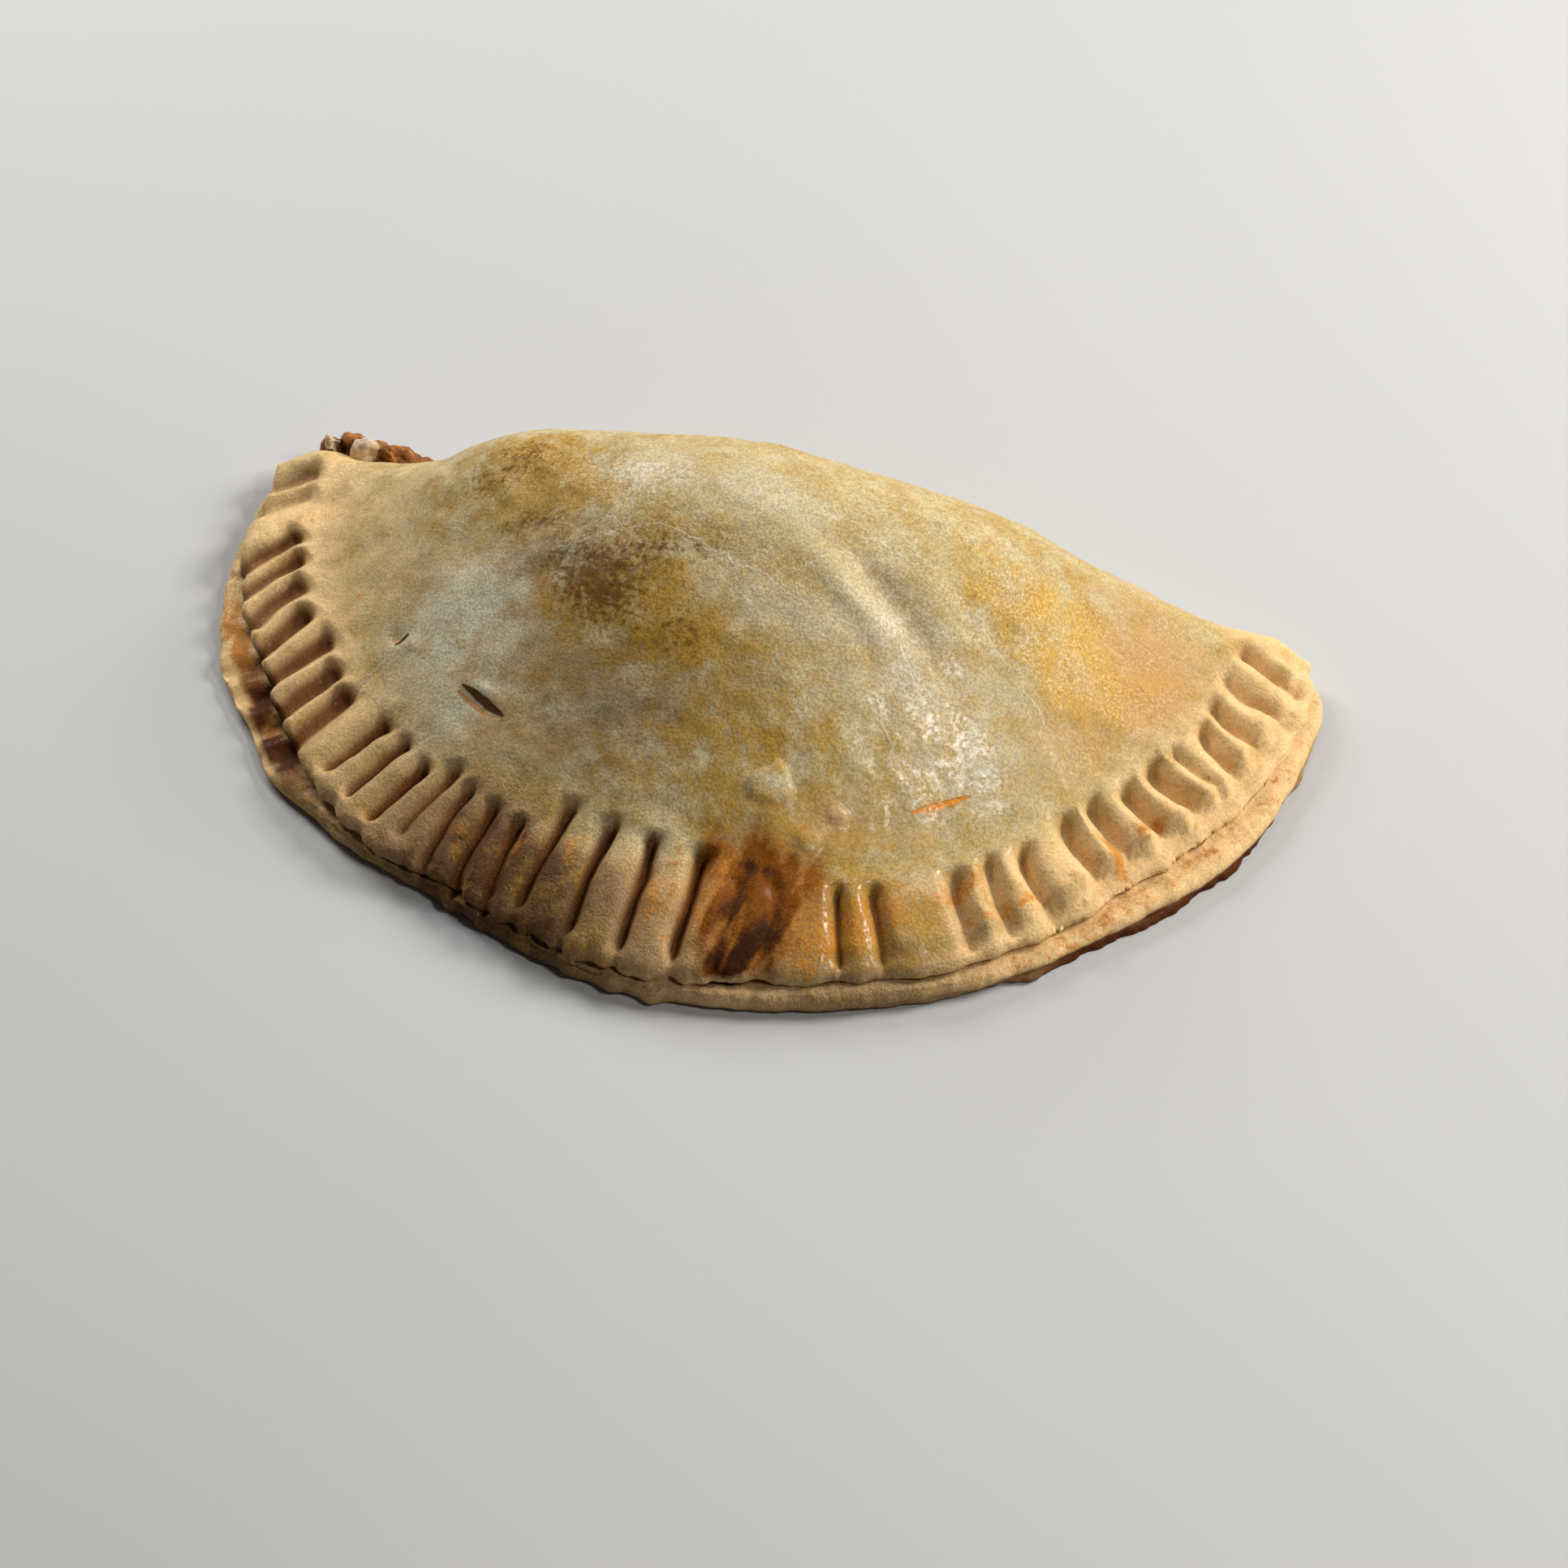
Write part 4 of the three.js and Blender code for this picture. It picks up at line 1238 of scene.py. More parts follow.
    def roughened(self, points: Array, faces: Array) -> Array:
        """Moves the skin along its normals by the dough's own unevenness, but not its underside.

        Args:
            points: rows of x, y, z.
            faces: rows of three vertex numbers.

        Returns:
            The moved points.
        """
        form = self.form
        x, y, z = points.T
        inset = form.inset(x, y)
        on_rim = 1.0 - self.rough_rim.over(inset)
        slow = self.slow_noise.at(points) * mix(*self.slow_by, on_rim)
        quick = self.quick_noise.at(points) * mix(*self.quick_by, on_rim)
        quick += self.lumpy_noise.at(points) * gather(self.lumpy, x, y)
        crumbly = unit(self.crumble.over(form.plan_angle(x, y)))
        near_edge = 1.0 - ease((inset - self.ragged_from) / mix(*self.ragged_run, crumbly))
        ragged = self.ragged_noise.at(points) * mix(*self.ragged_by, crumbly) * near_edge
        lift = (slow + quick + ragged) * self.base_calm.over(z)
        return points + vertex_normals(points, faces) * lift[:, None]

    def build(self) -> Object:
        """Builds the crust.

        Returns:
            The crust with its masks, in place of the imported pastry.
        """
        points, faces = self.skin()
        points = self.roughened(points, faces)
        crust = mesh_object("crust", points, faces)
        for mask, values in self.baking.masks(self.form, points).items():
            add_mask(crust, mask, values)
        return crust


class Sketch:
    """Lays out shader nodes in one tree."""

    def __init__(self, tree: Tree) -> None:
        """Keeps the tree to draw in."""
        self.tree = tree

    def node(self, kind: str, **settings: object) -> Node:
        """Adds a node.

        Args:
            kind: Blender's name of the kind of node.
            settings: its options.

        Returns:
            The node.
        """
        made = self.tree.nodes.new(kind)
        for name, value in settings.items():
            setattr(made, name, value)
        return made

    def feed(self, socket: Socket, source: Socket | float | Triple) -> None:
        """Feeds a socket.

        Args:
            socket: the socket to feed.
            source: another socket to link, or a number, vector or colour to set.
        """
        if isinstance(source, bpy.types.NodeSocket):
            self.tree.links.new(source, socket)
        elif socket.type == "RGBA":
            socket.default_value = (*source, 1.0)
        else:
            socket.default_value = source

    def fill(self, node: Node, **sources: Socket | float | Triple) -> None:
        """Feeds a node's inputs, named with underscores in place of spaces."""
        for name, source in sources.items():
            self.feed(node.inputs[name.replace("_", " ")], source)

    def place(self, group: Tree, **sources: Socket | float | Triple) -> Node:
        """Places a node group.

        Args:
            group: the group.
            sources: what feeds its inputs.

        Returns:
            The group's node.
        """
        made = self.node("ShaderNodeGroup", node_tree=group)
        self.fill(made, **sources)
        return made

    def math(self, operation: str, *values: Socket | float, clamp: bool = False) -> Socket:
        """A sum of one, two or three values.

        Args:
            operation: Blender's name of the sum.
            values: sockets or numbers.
            clamp: whether the result is held between 0 and 1.

        Returns:
            The result.
        """
        made = self.node("ShaderNodeMath", operation=operation, use_clamp=clamp)
        for socket, value in zip(made.inputs, values):
            self.feed(socket, value)
        return made.outputs[0]

    def times(self, first: Socket, second: Socket | float) -> Socket:
        """Product of two values."""
        return self.math("MULTIPLY", first, second)

    def more(
        self, ground: Socket | float, first: Socket, second: Socket | float, clamp: bool = False,
    ) -> Socket:
        """A ground with the product of two values added."""
        return self.math("MULTIPLY_ADD", first, second, ground, clamp=clamp)

    def less(self, ground: Socket | float, value: Socket | float, clamp: bool = False) -> Socket:
        """A ground with a value taken off."""
        return self.math("SUBTRACT", ground, value, clamp=clamp)

    def most(self, first: Socket, second: Socket) -> Socket:
        """The greater of two values."""
        return self.math("MAXIMUM", first, second)

    def weighed(self, shares: Point, first: Socket, second: Socket) -> Socket:
        """Sum of two values, each taken at its share."""
        return self.more(self.times(second, shares[1]), first, shares[0])

    def vector(
        self, operation: str, first: Socket, second: Socket | float | Triple, out: str = "Vector",
    ) -> Socket:
        """A sum of two vectors, or of a vector and a scale.

        Args:
            operation: Blender's name of the sum.
            first: the first vector.
            second: the second vector, or the scale.
            out: name of the result wanted.

        Returns:
            The result.
        """
        made = self.node("ShaderNodeVectorMath", operation=operation)
        self.feed(made.inputs[0], first)
        self.feed(made.inputs["Scale" if operation == "SCALE" else 1], second)
        return made.outputs[out]

    def blend(
        self, share: Socket | float, under: Socket | Colour, over: Socket | Colour, mode: str = "MIX",
    ) -> Socket:
        """One colour laid over another.

        Args:
            share: how much of the upper one shows.
            under: the lower colour.
            over: the upper colour.
            mode: Blender's name of the way of laying.

        Returns:
            The colour.
        """
        made = self.node("ShaderNodeMix", data_type="RGBA", blend_type=mode)
        for number, source in zip(MIX_INPUTS, (share, under, over)):
            self.feed(made.inputs[number], source)
        return made.outputs[MIX_RESULT]

    def span(self, value: Socket, low: float, high: float, start: float = 0.0, end: float = 1.0) -> Socket:
        """A value carried smoothly from one span to another.

        Args:
            value: the value.
            low: where the first span begins.
            high: where it ends.
            start: where the second span begins.
            end: where it ends.

        Returns:
            The carried value.
        """
        made = self.node("ShaderNodeMapRange", interpolation_type="SMOOTHSTEP")
        for socket, number in zip(made.inputs, (value, low, high, start, end)):
            self.feed(socket, number)
        return made.outputs[0]

    def noise(self, vector: Socket, scale: float, detail: float, **sources: Socket | float) -> Node:
        """A cloudy noise.

        Args:
            vector: the place.
            scale: how many clouds there are to a unit.
            detail: how many finer layers they have.
            sources: what feeds its other inputs.

        Returns:
            The noise's node.
        """
        made = self.node("ShaderNodeTexNoise")
        self.fill(made, Vector=vector, Scale=scale, Detail=detail, **sources)
        return made

    def cells(self, vector: Socket, scale: float, feature: str) -> Socket:
        """Distances in a pattern of cells.

        Args:
            vector: the place.
            scale: how many cells there are to a unit.
            feature: Blender's name of what is measured.

        Returns:
            The distance.
        """
        made = self.node("ShaderNodeTexVoronoi", feature=feature)
        self.fill(made, Vector=vector, Scale=scale)
        return made.outputs["Distance"]

    def swayed(self, vector: Socket, sway: Node, by: Socket | float) -> Socket:
        """A vector moved about by a noise."""
        centred = self.vector("SUBTRACT", sway.outputs["Color"], (0.5, 0.5, 0.5))
        return self.vector("ADD", vector, self.vector("SCALE", centred, by))

    def in_sizes(self, given: Node) -> Socket:
        """A group's Position counted in its Size."""
        per_size = self.math("DIVIDE", 1.0, given.outputs["Size"])
        return self.vector("SCALE", given.outputs["Position"], per_size)

    def broken(self, mask: Socket, speckle: Socket, bite: float) -> Socket:
        """A soft mask broken up by a speckle."""
        return self.less(self.times(mask, 1.0 + bite), self.times(speckle, bite), clamp=True)

    def mask(self, mask: Mask) -> Socket:
        """A vertex mask."""
        return self.node("ShaderNodeAttribute", attribute_name=mask.value).outputs["Fac"]

    def position(self) -> Socket:
        """Place on the object, in metres."""
        return self.node("ShaderNodeTexCoord").outputs["Object"]

    def bump(self, height: Socket) -> Socket:
        """Raises a surface by a height.

        Args:
            height: the height in metres.

        Returns:
            The normal of the raised surface.
        """
        made = self.node("ShaderNodeBump")
        self.fill(made, Distance=1.0, Height=height)
        return made.outputs[0]


def new_group(
    name: str, vectors: tuple[str, ...], values: tuple[str, ...], results: tuple[str, ...],
) -> tuple[Sketch, Node, Node]:
    """Starts a shader node group.

    Args:
        name: the group's name.
        vectors: names of the inputs that are vectors.
        values: names of the inputs that are numbers.
        results: names of the outputs, all numbers.

    Returns:
        A sketch in the group, its input node and its output node.
    """
    tree = bpy.data.node_groups.new(name, "ShaderNodeTree")
    sockets = (
        ("INPUT", "NodeSocketVector", vectors), ("INPUT", "NodeSocketFloat", values),
        ("OUTPUT", "NodeSocketFloat", results),
    )
    for way, kind, labels in sockets:
        for label in labels:
            tree.interface.new_socket(label, in_out=way, socket_type=kind)
    sketch = Sketch(tree)
    return sketch, sketch.node("NodeGroupInput"), sketch.node("NodeGroupOutput")


def new_finish(name: str) -> tuple[Material, Sketch, Node]:
    """Starts a material.

    Args:
        name: the material's name.

    Returns:
        The material, a sketch in it and its shader.
    """
    made = bpy.data.materials.new(name)
    made.use_nodes = True
    return made, Sketch(made.node_tree), made.node_tree.nodes["Principled BSDF"]


class Effects:
    """Shader node groups that the finishes share."""

    def __init__(self) -> None:
        """Builds each group once."""
        self.mottle = self.make_mottle()
        self.grain = self.make_grain()
        self.score = self.make_score()
        self.crackle = self.make_crackle()
        self.cover = self.make_cover()

    @staticmethod
    def make_mottle() -> Tree:
        """Cloudy patches of a given size.

        Returns:
            A group with a Value from 0 to 1.
        """
        sketch, given, result = new_group("Mottle", ("Position",), ("Size", "Contrast", "Grit"), ("Value",))
        cloud = sketch.noise(sketch.in_sizes(given), scale=1.0, detail=6.0, Roughness=given.outputs["Grit"])
        centred = sketch.less(cloud.outputs[0], 0.5)
        sketch.fill(result, Value=sketch.more(0.5, centred, given.outputs["Contrast"], clamp=True))
        return sketch.tree

    @staticmethod
    def make_grain() -> Tree:
        """Fine grain of a given size.

        Returns:
            A group with a Height and a Shade, both about 0 to 1.
        """
        sketch, given, result = new_group("Grain", ("Position",), ("Size",), ("Height", "Shade"))
        scaled = sketch.in_sizes(given)
        coarse = sketch.noise(scaled, scale=1.0, detail=2.0).outputs[0]
        height = sketch.more(coarse, sketch.cells(scaled, scale=0.8, feature="F1"), -0.5)
        sketch.fill(result, Height=height, Shade=sketch.span(coarse, low=0.3, high=0.7))
        return sketch.tree

    @staticmethod
    def make_score() -> Tree:
        """A thin wandering line between two plan points, widest at its middle.

        Returns:
            A group with a Line from 0 to 1.
        """
        sketch, given, result = new_group(
            "Score", ("Position", "From", "To"), ("Half Width", "Wander"), ("Line",),
        )
        position, begin = given.outputs["Position"], given.outputs["From"]
        sway = sketch.noise(sketch.vector("SCALE", position, SCORE_SWAYS), scale=1.0, detail=3.0)
        moved = sketch.swayed(position, sway, given.outputs["Wander"])
        flat = sketch.vector("MULTIPLY", moved, (1.0, 1.0, 0.0))
        run = sketch.vector("SUBTRACT", given.outputs["To"], begin)
        off = sketch.vector("SUBTRACT", flat, begin)
        whole = sketch.vector("DOT_PRODUCT", run, run, out="Value")
        gone = sketch.vector("DOT_PRODUCT", off, run, out="Value")
        share = sketch.math("DIVIDE", gone, whole, clamp=True)
        nearest = sketch.vector("ADD", begin, sketch.vector("SCALE", run, share))
        away = sketch.vector("DISTANCE", flat, nearest, out="Value")
        belly = sketch.math("POWER", sketch.math("SINE", sketch.times(share, math.pi)), 0.5)
        width = sketch.times(given.outputs["Half Width"], sketch.more(0.25, belly, 0.75))
        near = sketch.math("DIVIDE", away, width)
        sketch.fill(result, Line=sketch.span(near, low=0.55, high=1.15, start=1.0, end=0.0))
        return sketch.tree

    @staticmethod
    def make_crackle() -> Tree:
        """A broken net of thin wandering cracks.

        Returns:
            A group with a Line from 0 to 1.
        """
        sketch, given, result = new_group("Crackle", ("Position",), ("Size", "Width"), ("Line",))
        scaled = sketch.in_sizes(given)
        sway = sketch.noise(scaled, scale=1.6, detail=5.0, Roughness=0.65)
        apart = sketch.cells(sketch.swayed(scaled, sway, by=1.3), scale=1.0, feature="DISTANCE_TO_EDGE")
        near = sketch.math("DIVIDE", apart, given.outputs["Width"])
        line = sketch.span(near, low=0.4, high=1.0, start=1.0, end=0.0)
        gaps = sketch.span(sway.outputs[0], low=0.38, high=0.55)
        sketch.fill(result, Line=sketch.times(line, gaps))
        return sketch.tree

    @staticmethod
    def make_cover() -> Tree:
        """Patches where a speckle rises above what a mask asks.

        Returns:
            A group with a Share that is full for a mask of 1, scattered for a half and none for 0.
        """
        sketch, given, result = new_group("Cover", (), ("Mask", "Speckle", "Soft"), ("Share",))
        level = sketch.more(1.15, given.outputs["Mask"], -1.3)
        above = sketch.less(given.outputs["Speckle"], level)
        edge = sketch.math("DIVIDE", above, given.outputs["Soft"])
        sketch.fill(result, Share=sketch.span(edge, low=-1.0, high=1.0))
        return sketch.tree


@dataclass(frozen=True)
class Bench:
    """What a finish is drawn with: the sketch, the shared groups and the place on the object."""

    sketch: Sketch
    effects: Effects
    position: Socket


@dataclass(frozen=True)
class Cloud:
    """Cloudy mottling: its size in millimetres, its contrast and its grit."""

    size: float
    contrast: float
    grit: float

    def value(self, bench: Bench) -> Socket:
        """The mottling in a finish, from 0 to 1."""
        placed = bench.sketch.place(
            bench.effects.mottle, Position=bench.position, Size=self.size * MM, Contrast=self.contrast,
            Grit=self.grit,
        )
        return placed.outputs["Value"]


@dataclass(frozen=True)
class Grain:
    """Fine grain of a size in millimetres."""

    size: float

    def node(self, bench: Bench) -> Node:
        """The grain in a finish."""
        return bench.sketch.place(bench.effects.grain, Position=bench.position, Size=self.size * MM)


@dataclass(frozen=True)
class CrackNet:
    """A net of cracks: the size of its meshes in millimetres, and a crack's width as a share of that."""

    size: float
    width: float

    def line(self, bench: Bench) -> Socket:
        """The cracks as a mask in a finish."""
        placed = bench.sketch.place(
            bench.effects.crackle, Position=bench.position, Size=self.size * MM, Width=self.width,
        )
        return placed.outputs["Line"]


@dataclass(frozen=True)
class ScoreLine:
    """A slit, crack or crease on the plan, in millimetres about the fold."""

    start: Point
    end: Point
    half_width: float
    wander: float

    @staticmethod
    def on_base(point: Point) -> Triple:
        """A plan point about the fold, in metres in the model's frame."""
        return (point[0] + FOLD_TO_BASE[0]) * MM, (point[1] + FOLD_TO_BASE[1]) * MM, 0.0

    def line(self, bench: Bench) -> Socket:
        """The line as a mask in a finish."""
        placed = bench.sketch.place(
            bench.effects.score, Position=bench.position, From=self.on_base(self.start),
            To=self.on_base(self.end), Half_Width=self.half_width * MM, Wander=self.wander * MM,
        )
        return placed.outputs["Line"]


def joined(bench: Bench, lines: Iterable[ScoreLine]) -> Socket:
    """The strongest of several lines at each place.

    Args:
        bench: what the finish is drawn with.
        lines: the lines.

    Returns:
        One mask of all the lines.
    """
    total: Socket | None = None
    for score in lines:
        line = score.line(bench)
        total = line if total is None else bench.sketch.most(total, line)
    return total


@dataclass(frozen=True)
class Tint:
    """A colour that follows a cloud: it begins at one value of the cloud and is strongest at another."""

    colour: Colour
    begin: float
    full: float
    share: float

    def over(self, bench: Bench, under: Socket, cloud: Socket) -> Socket:
        """The tint laid over a colour."""
        return bench.sketch.blend(
            bench.sketch.span(cloud, self.begin, self.full, 0.0, self.share), under, self.colour,
        )


@dataclass(frozen=True)
class Wash:
    """A colour laid softly by a mask that a speckle bites into."""

    mask: Mask
    colour: Colour
    bite: float

    def cover(self, bench: Bench, speckle: Socket) -> Socket:
        """How far the wash covers."""
        return bench.sketch.broken(bench.sketch.mask(self.mask), speckle, self.bite)

    def over(self, bench: Bench, under: Socket, speckle: Socket) -> Socket:
        """The wash laid over a colour."""
        return bench.sketch.blend(self.cover(bench, speckle), under, self.colour)


@dataclass(frozen=True)
class Stain:
    """A colour laid in patches, where a mask and a speckle allow it."""

    mask: Mask
    colour: Colour
    soft: float
    share: float

    def over(self, bench: Bench, under: Socket, speckle: Socket) -> Socket:
        """Lays the stain over a colour.

        Args:
            bench: what the finish is drawn with.
            under: the colour below.
            speckle: the speckle that breaks it up.

        Returns:
            The stained colour.
        """
        sketch = bench.sketch
        mask = sketch.mask(self.mask)
        cover = sketch.place(bench.effects.cover, Mask=mask, Speckle=speckle, Soft=self.soft)
        return sketch.blend(sketch.times(cover.outputs["Share"], self.share), under, self.colour)


@dataclass(frozen=True)
class CrustSockets:
    """Clouds, grains and lines that the colour, the gloss and the relief of the crust share."""

    patchy: Socket
    spotty: Socket
    specked: Socket
    spots: Socket
    blots: Socket
    grain: Node
    dew: Node
    burnt: Socket
    cracks: Socket
    slits: Socket
    glazed: Socket


@dataclass(frozen=True)
class CrustFinish:
    """Baked dough: cream and tan, mottled by browning, with a patchy egg glaze, a fine grain, painted shade
    and painted highlights.
    """

    broad: Cloud = Cloud(16.0, 2.6, 0.5)
    cloudy: Cloud = Cloud(7.0, 3.4, 0.42)
    patchy: Cloud = Cloud(5.0, 3.2, 0.55)
    spotty: Cloud = Cloud(2.4, 3.2, 0.68)
    specked: Cloud = Cloud(1.0, 3.0, 0.68)
    spot_shares: Point = (0.45, 0.55)
    blot_shares: Point = (0.65, 0.35)
    streak_shares: Point = (0.6, 0.4)
    grain: Grain = Grain(0.38)
    dew: Grain = Grain(0.8)
    cream: Colour = (0.535, 0.43, 0.235)
    buff: Colour = (0.475, 0.36, 0.16)
    amber: Tint = Tint((0.44, 0.27, 0.075), 0.36, 0.95, 0.55)
    haze: Tint = Tint((0.59, 0.51, 0.305), 0.5, 0.1, 0.32)
    fleck: Tint = Tint((0.42, 0.235, 0.05), 0.45, 0.9, 0.4)
    bloom: Tint = Tint((0.66, 0.60, 0.43), 0.5, 0.1, 0.3)
    # pale stain: pale dough and painted highlights on the crest, the crown and the glossy right front
    pale: Stain = Stain(Mask.PALE, (0.66, 0.60, 0.43), 0.5, 0.95)
    # grey-brown of the bake, partly painted shade on the front of the mound and in a hollow
    grey: Stain = Stain(Mask.GREY, (0.315, 0.215, 0.108), 0.65, 0.85)
    flank: Wash = Wash(Mask.FLANK, (0.52, 0.285, 0.10), 0.75)
    tan: Wash = Wash(Mask.TAN, (0.76, 0.50, 0.23), 0.55)
    # dark brown wash: browner dough and painted shade on the front of the rim
    toast: Wash = Wash(Mask.TOAST, (0.116, 0.054, 0.022), 0.14)
    gold: Stain = Stain(Mask.GOLD, (0.39, 0.215, 0.03), 0.5, 0.9)
    yolk: Stain = Stain(Mask.YOLK, (0.60, 0.35, 0.05), 0.8, 0.95)
    orange: Stain = Stain(Mask.ORANGE, (0.54, 0.205, 0.025), 0.4, 0.9)
    # nearly black brown laid in the grooves: browner dough and painted shade
    groove: Colour = (0.18, 0.06, 0.013)
    groove_share: float = 0.95
    brown: Stain = Stain(Mask.SCORCH, (0.28, 0.14, 0.022), 0.4, 0.9)
    scorch: Stain = Stain(Mask.SCORCH, (0.14, 0.058, 0.008), 0.3, 0.8)
    burnt: Wash = Wash(Mask.BURNT, (0.21, 0.062, 0.003), 0.5)
    char: Stain = Stain(Mask.CHAR, (0.034, 0.009, 0.002), 0.6, 0.95)
    sauce: Colour = (0.085, 0.02, 0.002)
    net: CrackNet = CrackNet(5.0, 0.055)
    fibres: CrackNet = CrackNet(1.7, 0.08)
    fibre_share: float = 0.5
    flake: Colour = (0.78, 0.69, 0.50)
    flake_share: float = 0.4
    cracks: tuple[ScoreLine, ...] = (
        ScoreLine((-26, -28.8), (-10.4, -26.3), 0.2, 2.2), ScoreLine((-10.4, -26.3), (8.5, -31.4), 0.24, 3),
        ScoreLine((14, -18), (25.5, -21), 0.16, 2.6), ScoreLine((27.5, -35), (34, -41), 0.18, 2.2),
        ScoreLine((8, -30.5), (14, -24.5), 0.16, 2.4), ScoreLine((-20, -24), (-12, -29), 0.16, 2.8),
        # the line from (-47, -40.2) to (-51.5, -45.3) lies on a fold crease: its pale colour is a painted
        # highlight along the crease's ridge
        ScoreLine((-47, -40.2), (-51.5, -45.3), 0.2, 0.6), ScoreLine((27.7, -34.9), (32.8, -40.1), 0.4, 3),
        ScoreLine((23.9, -39.5), (30.1, -48.8), 0.34, 3), ScoreLine((23.7, -29.3), (27.7, -34.9), 0.3, 2.6),
        ScoreLine((42.1, -29), (48.2, -32.9), 0.2, 2.6),
    )
    wall: Colour = (0.46, 0.25, 0.09)
    slit_wall: ScoreLine = ScoreLine((-34.5, -46.6), (-28.4, -50.3), 0.5, 0.35)
    # painted shade inside the slits and the small tear
    slit_shade: Colour = (0.12, 0.05, 0.015)
    slits: tuple[ScoreLine, ...] = (
        ScoreLine((-34.1, -45.8), (-26.7, -50.3), 0.36, 0.35),
        ScoreLine((-46.6, -38.6), (-44.8, -37.4), 0.45, 0.6),
    )
    glaze_line: Colour = (0.72, 0.25, 0.015)
    glazed_slit: ScoreLine = ScoreLine((32.0, -50.6), (39.0, -45.5), 0.42, 0.7)
    shade_span: Point = (0.80, 1.16)
    smooth_share: float = 0.65
    dim_by_char: float = 0.6
    dim_by_burn: float = 0.75
    roughness: Point = (0.6, 0.36)
    beads: Span = (0.15, 0.75, 1.0, 0.08)
    glints: Span = (0.62, 0.95, 0.0, 0.14)
    coat: float = 0.75
    coat_roughness: float = 0.22
    specular: float = 0.08
    grain_height: float = 0.00006
    speck_height: float = 0.00003
    toast_and_shade_grain: float = 1.3
    gloss_grain: float = -0.7
    spot_height: float = 0.00004
    wrinkle_share: float = 0.35
    wrinkle_height: float = 0.00006
    crack_height: float = 0.00003
    slit_height: float = -0.0012
    glazed_height: float = -0.00012

    def sockets(self, bench: Bench) -> CrustSockets:
        """Draws what the parts of the finish share.

        Args:
            bench: what the finish is drawn with.

        Returns:
            The shared sockets.
        """
        sketch = bench.sketch
        patchy, spotty, specked = (cloud.value(bench) for cloud in (self.patchy, self.spotty, self.specked))
        net = sketch.most(self.net.line(bench), sketch.times(self.fibres.line(bench), self.fibre_share))
        cracks = sketch.times(net, sketch.mask(Mask.CRACKLE))
        return CrustSockets(
            patchy=patchy,
            spotty=spotty,
            specked=specked,
            spots=sketch.weighed(self.spot_shares, specked, spotty),
            blots=sketch.weighed(self.blot_shares, patchy, specked),
            grain=self.grain.node(bench),
            dew=self.dew.node(bench),
            burnt=self.burnt.cover(bench, specked),
            cracks=sketch.most(cracks, joined(bench, self.cracks)),
            slits=joined(bench, self.slits),
            glazed=self.glazed_slit.line(bench),
        )

    def baked(self, bench: Bench, shared: CrustSockets) -> Socket:
        """Colour of the baked dough, with its painted shade and painted highlights.

        Args:
            bench: what the finish is drawn with.
            shared: the shared sockets.

        Returns:
            The colour, without slits and cracks.
        """
        sketch = bench.sketch
        patchy, spots, blots = shared.patchy, shared.spots, shared.blots
        streaks = sketch.weighed(self.streak_shares, sketch.mask(Mask.STREAK), shared.spotty)
        # the pale, grey and toast layers carry painted highlights and painted shade as well as the bake
        ground = (
            (self.amber, self.cloudy.value(bench)), (self.haze, patchy), (self.fleck, spots),
            (self.bloom, spots), (self.pale, spots), (self.grey, patchy), (self.flank, streaks),
            (self.tan, patchy), (self.toast, shared.spotty), (self.gold, blots), (self.yolk, blots),
            (self.orange, spots),
        )
        colour = sketch.blend(self.broad.value(bench), self.cream, self.buff)
        for layer, speckle in ground:
            colour = layer.over(bench, colour, speckle)
        # painted shade, with browner dough, darkening the fork grooves by their depth
        pocket = sketch.times(sketch.mask(Mask.POCKET), self.groove_share)
        colour = sketch.blend(pocket, colour, self.groove)
        colour = self.brown.over(bench, colour, blots)
        colour = self.scorch.over(bench, colour, shared.specked)
        colour = sketch.blend(shared.burnt, colour, self.burnt.colour)
        colour = self.char.over(bench, colour, spots)
        # sauce, laid darker at the notches of the lip as painted shade
        return sketch.blend(sketch.mask(Mask.SAUCE), colour, self.sauce)

    def scored(self, bench: Bench, shared: CrustSockets, colour: Socket) -> Socket:
        """Lays the cracks, the slits in painted shade and the glazed slit over the colour of the dough.

        Args:
            bench: what the finish is drawn with.
            shared: the shared sockets.
            colour: the colour of the dough.

        Returns:
            The colour with cracks and slits.
        """
        sketch = bench.sketch
        colour = sketch.blend(sketch.times(shared.cracks, self.flake_share), colour, self.flake)
        colour = sketch.blend(self.slit_wall.line(bench), colour, self.wall)
        colour = sketch.blend(shared.slits, colour, self.slit_shade)
        return sketch.blend(shared.glazed, colour, self.glaze_line)

    def grained(self, bench: Bench, shared: CrustSockets, colour: Socket) -> Socket:
        """Shades the colour with the grain, less where the dough is smooth and tan.

        Args:
            bench: what the finish is drawn with.
            shared: the shared sockets.
            colour: the colour.

        Returns:
            The shaded colour.
        """
        sketch = bench.sketch
        smooth = sketch.most(sketch.mask(Mask.TAN), sketch.mask(Mask.FLANK))
        smooth = sketch.times(sketch.less(smooth, sketch.mask(Mask.TOAST), clamp=True), self.smooth_share)
        shade = sketch.span(shared.grain.outputs["Shade"], 0.0, 1.0, *self.shade_span)
        shade = sketch.more(shade, smooth, sketch.less(1.0, shade))
        return sketch.blend(1.0, colour, shade, mode="MULTIPLY")

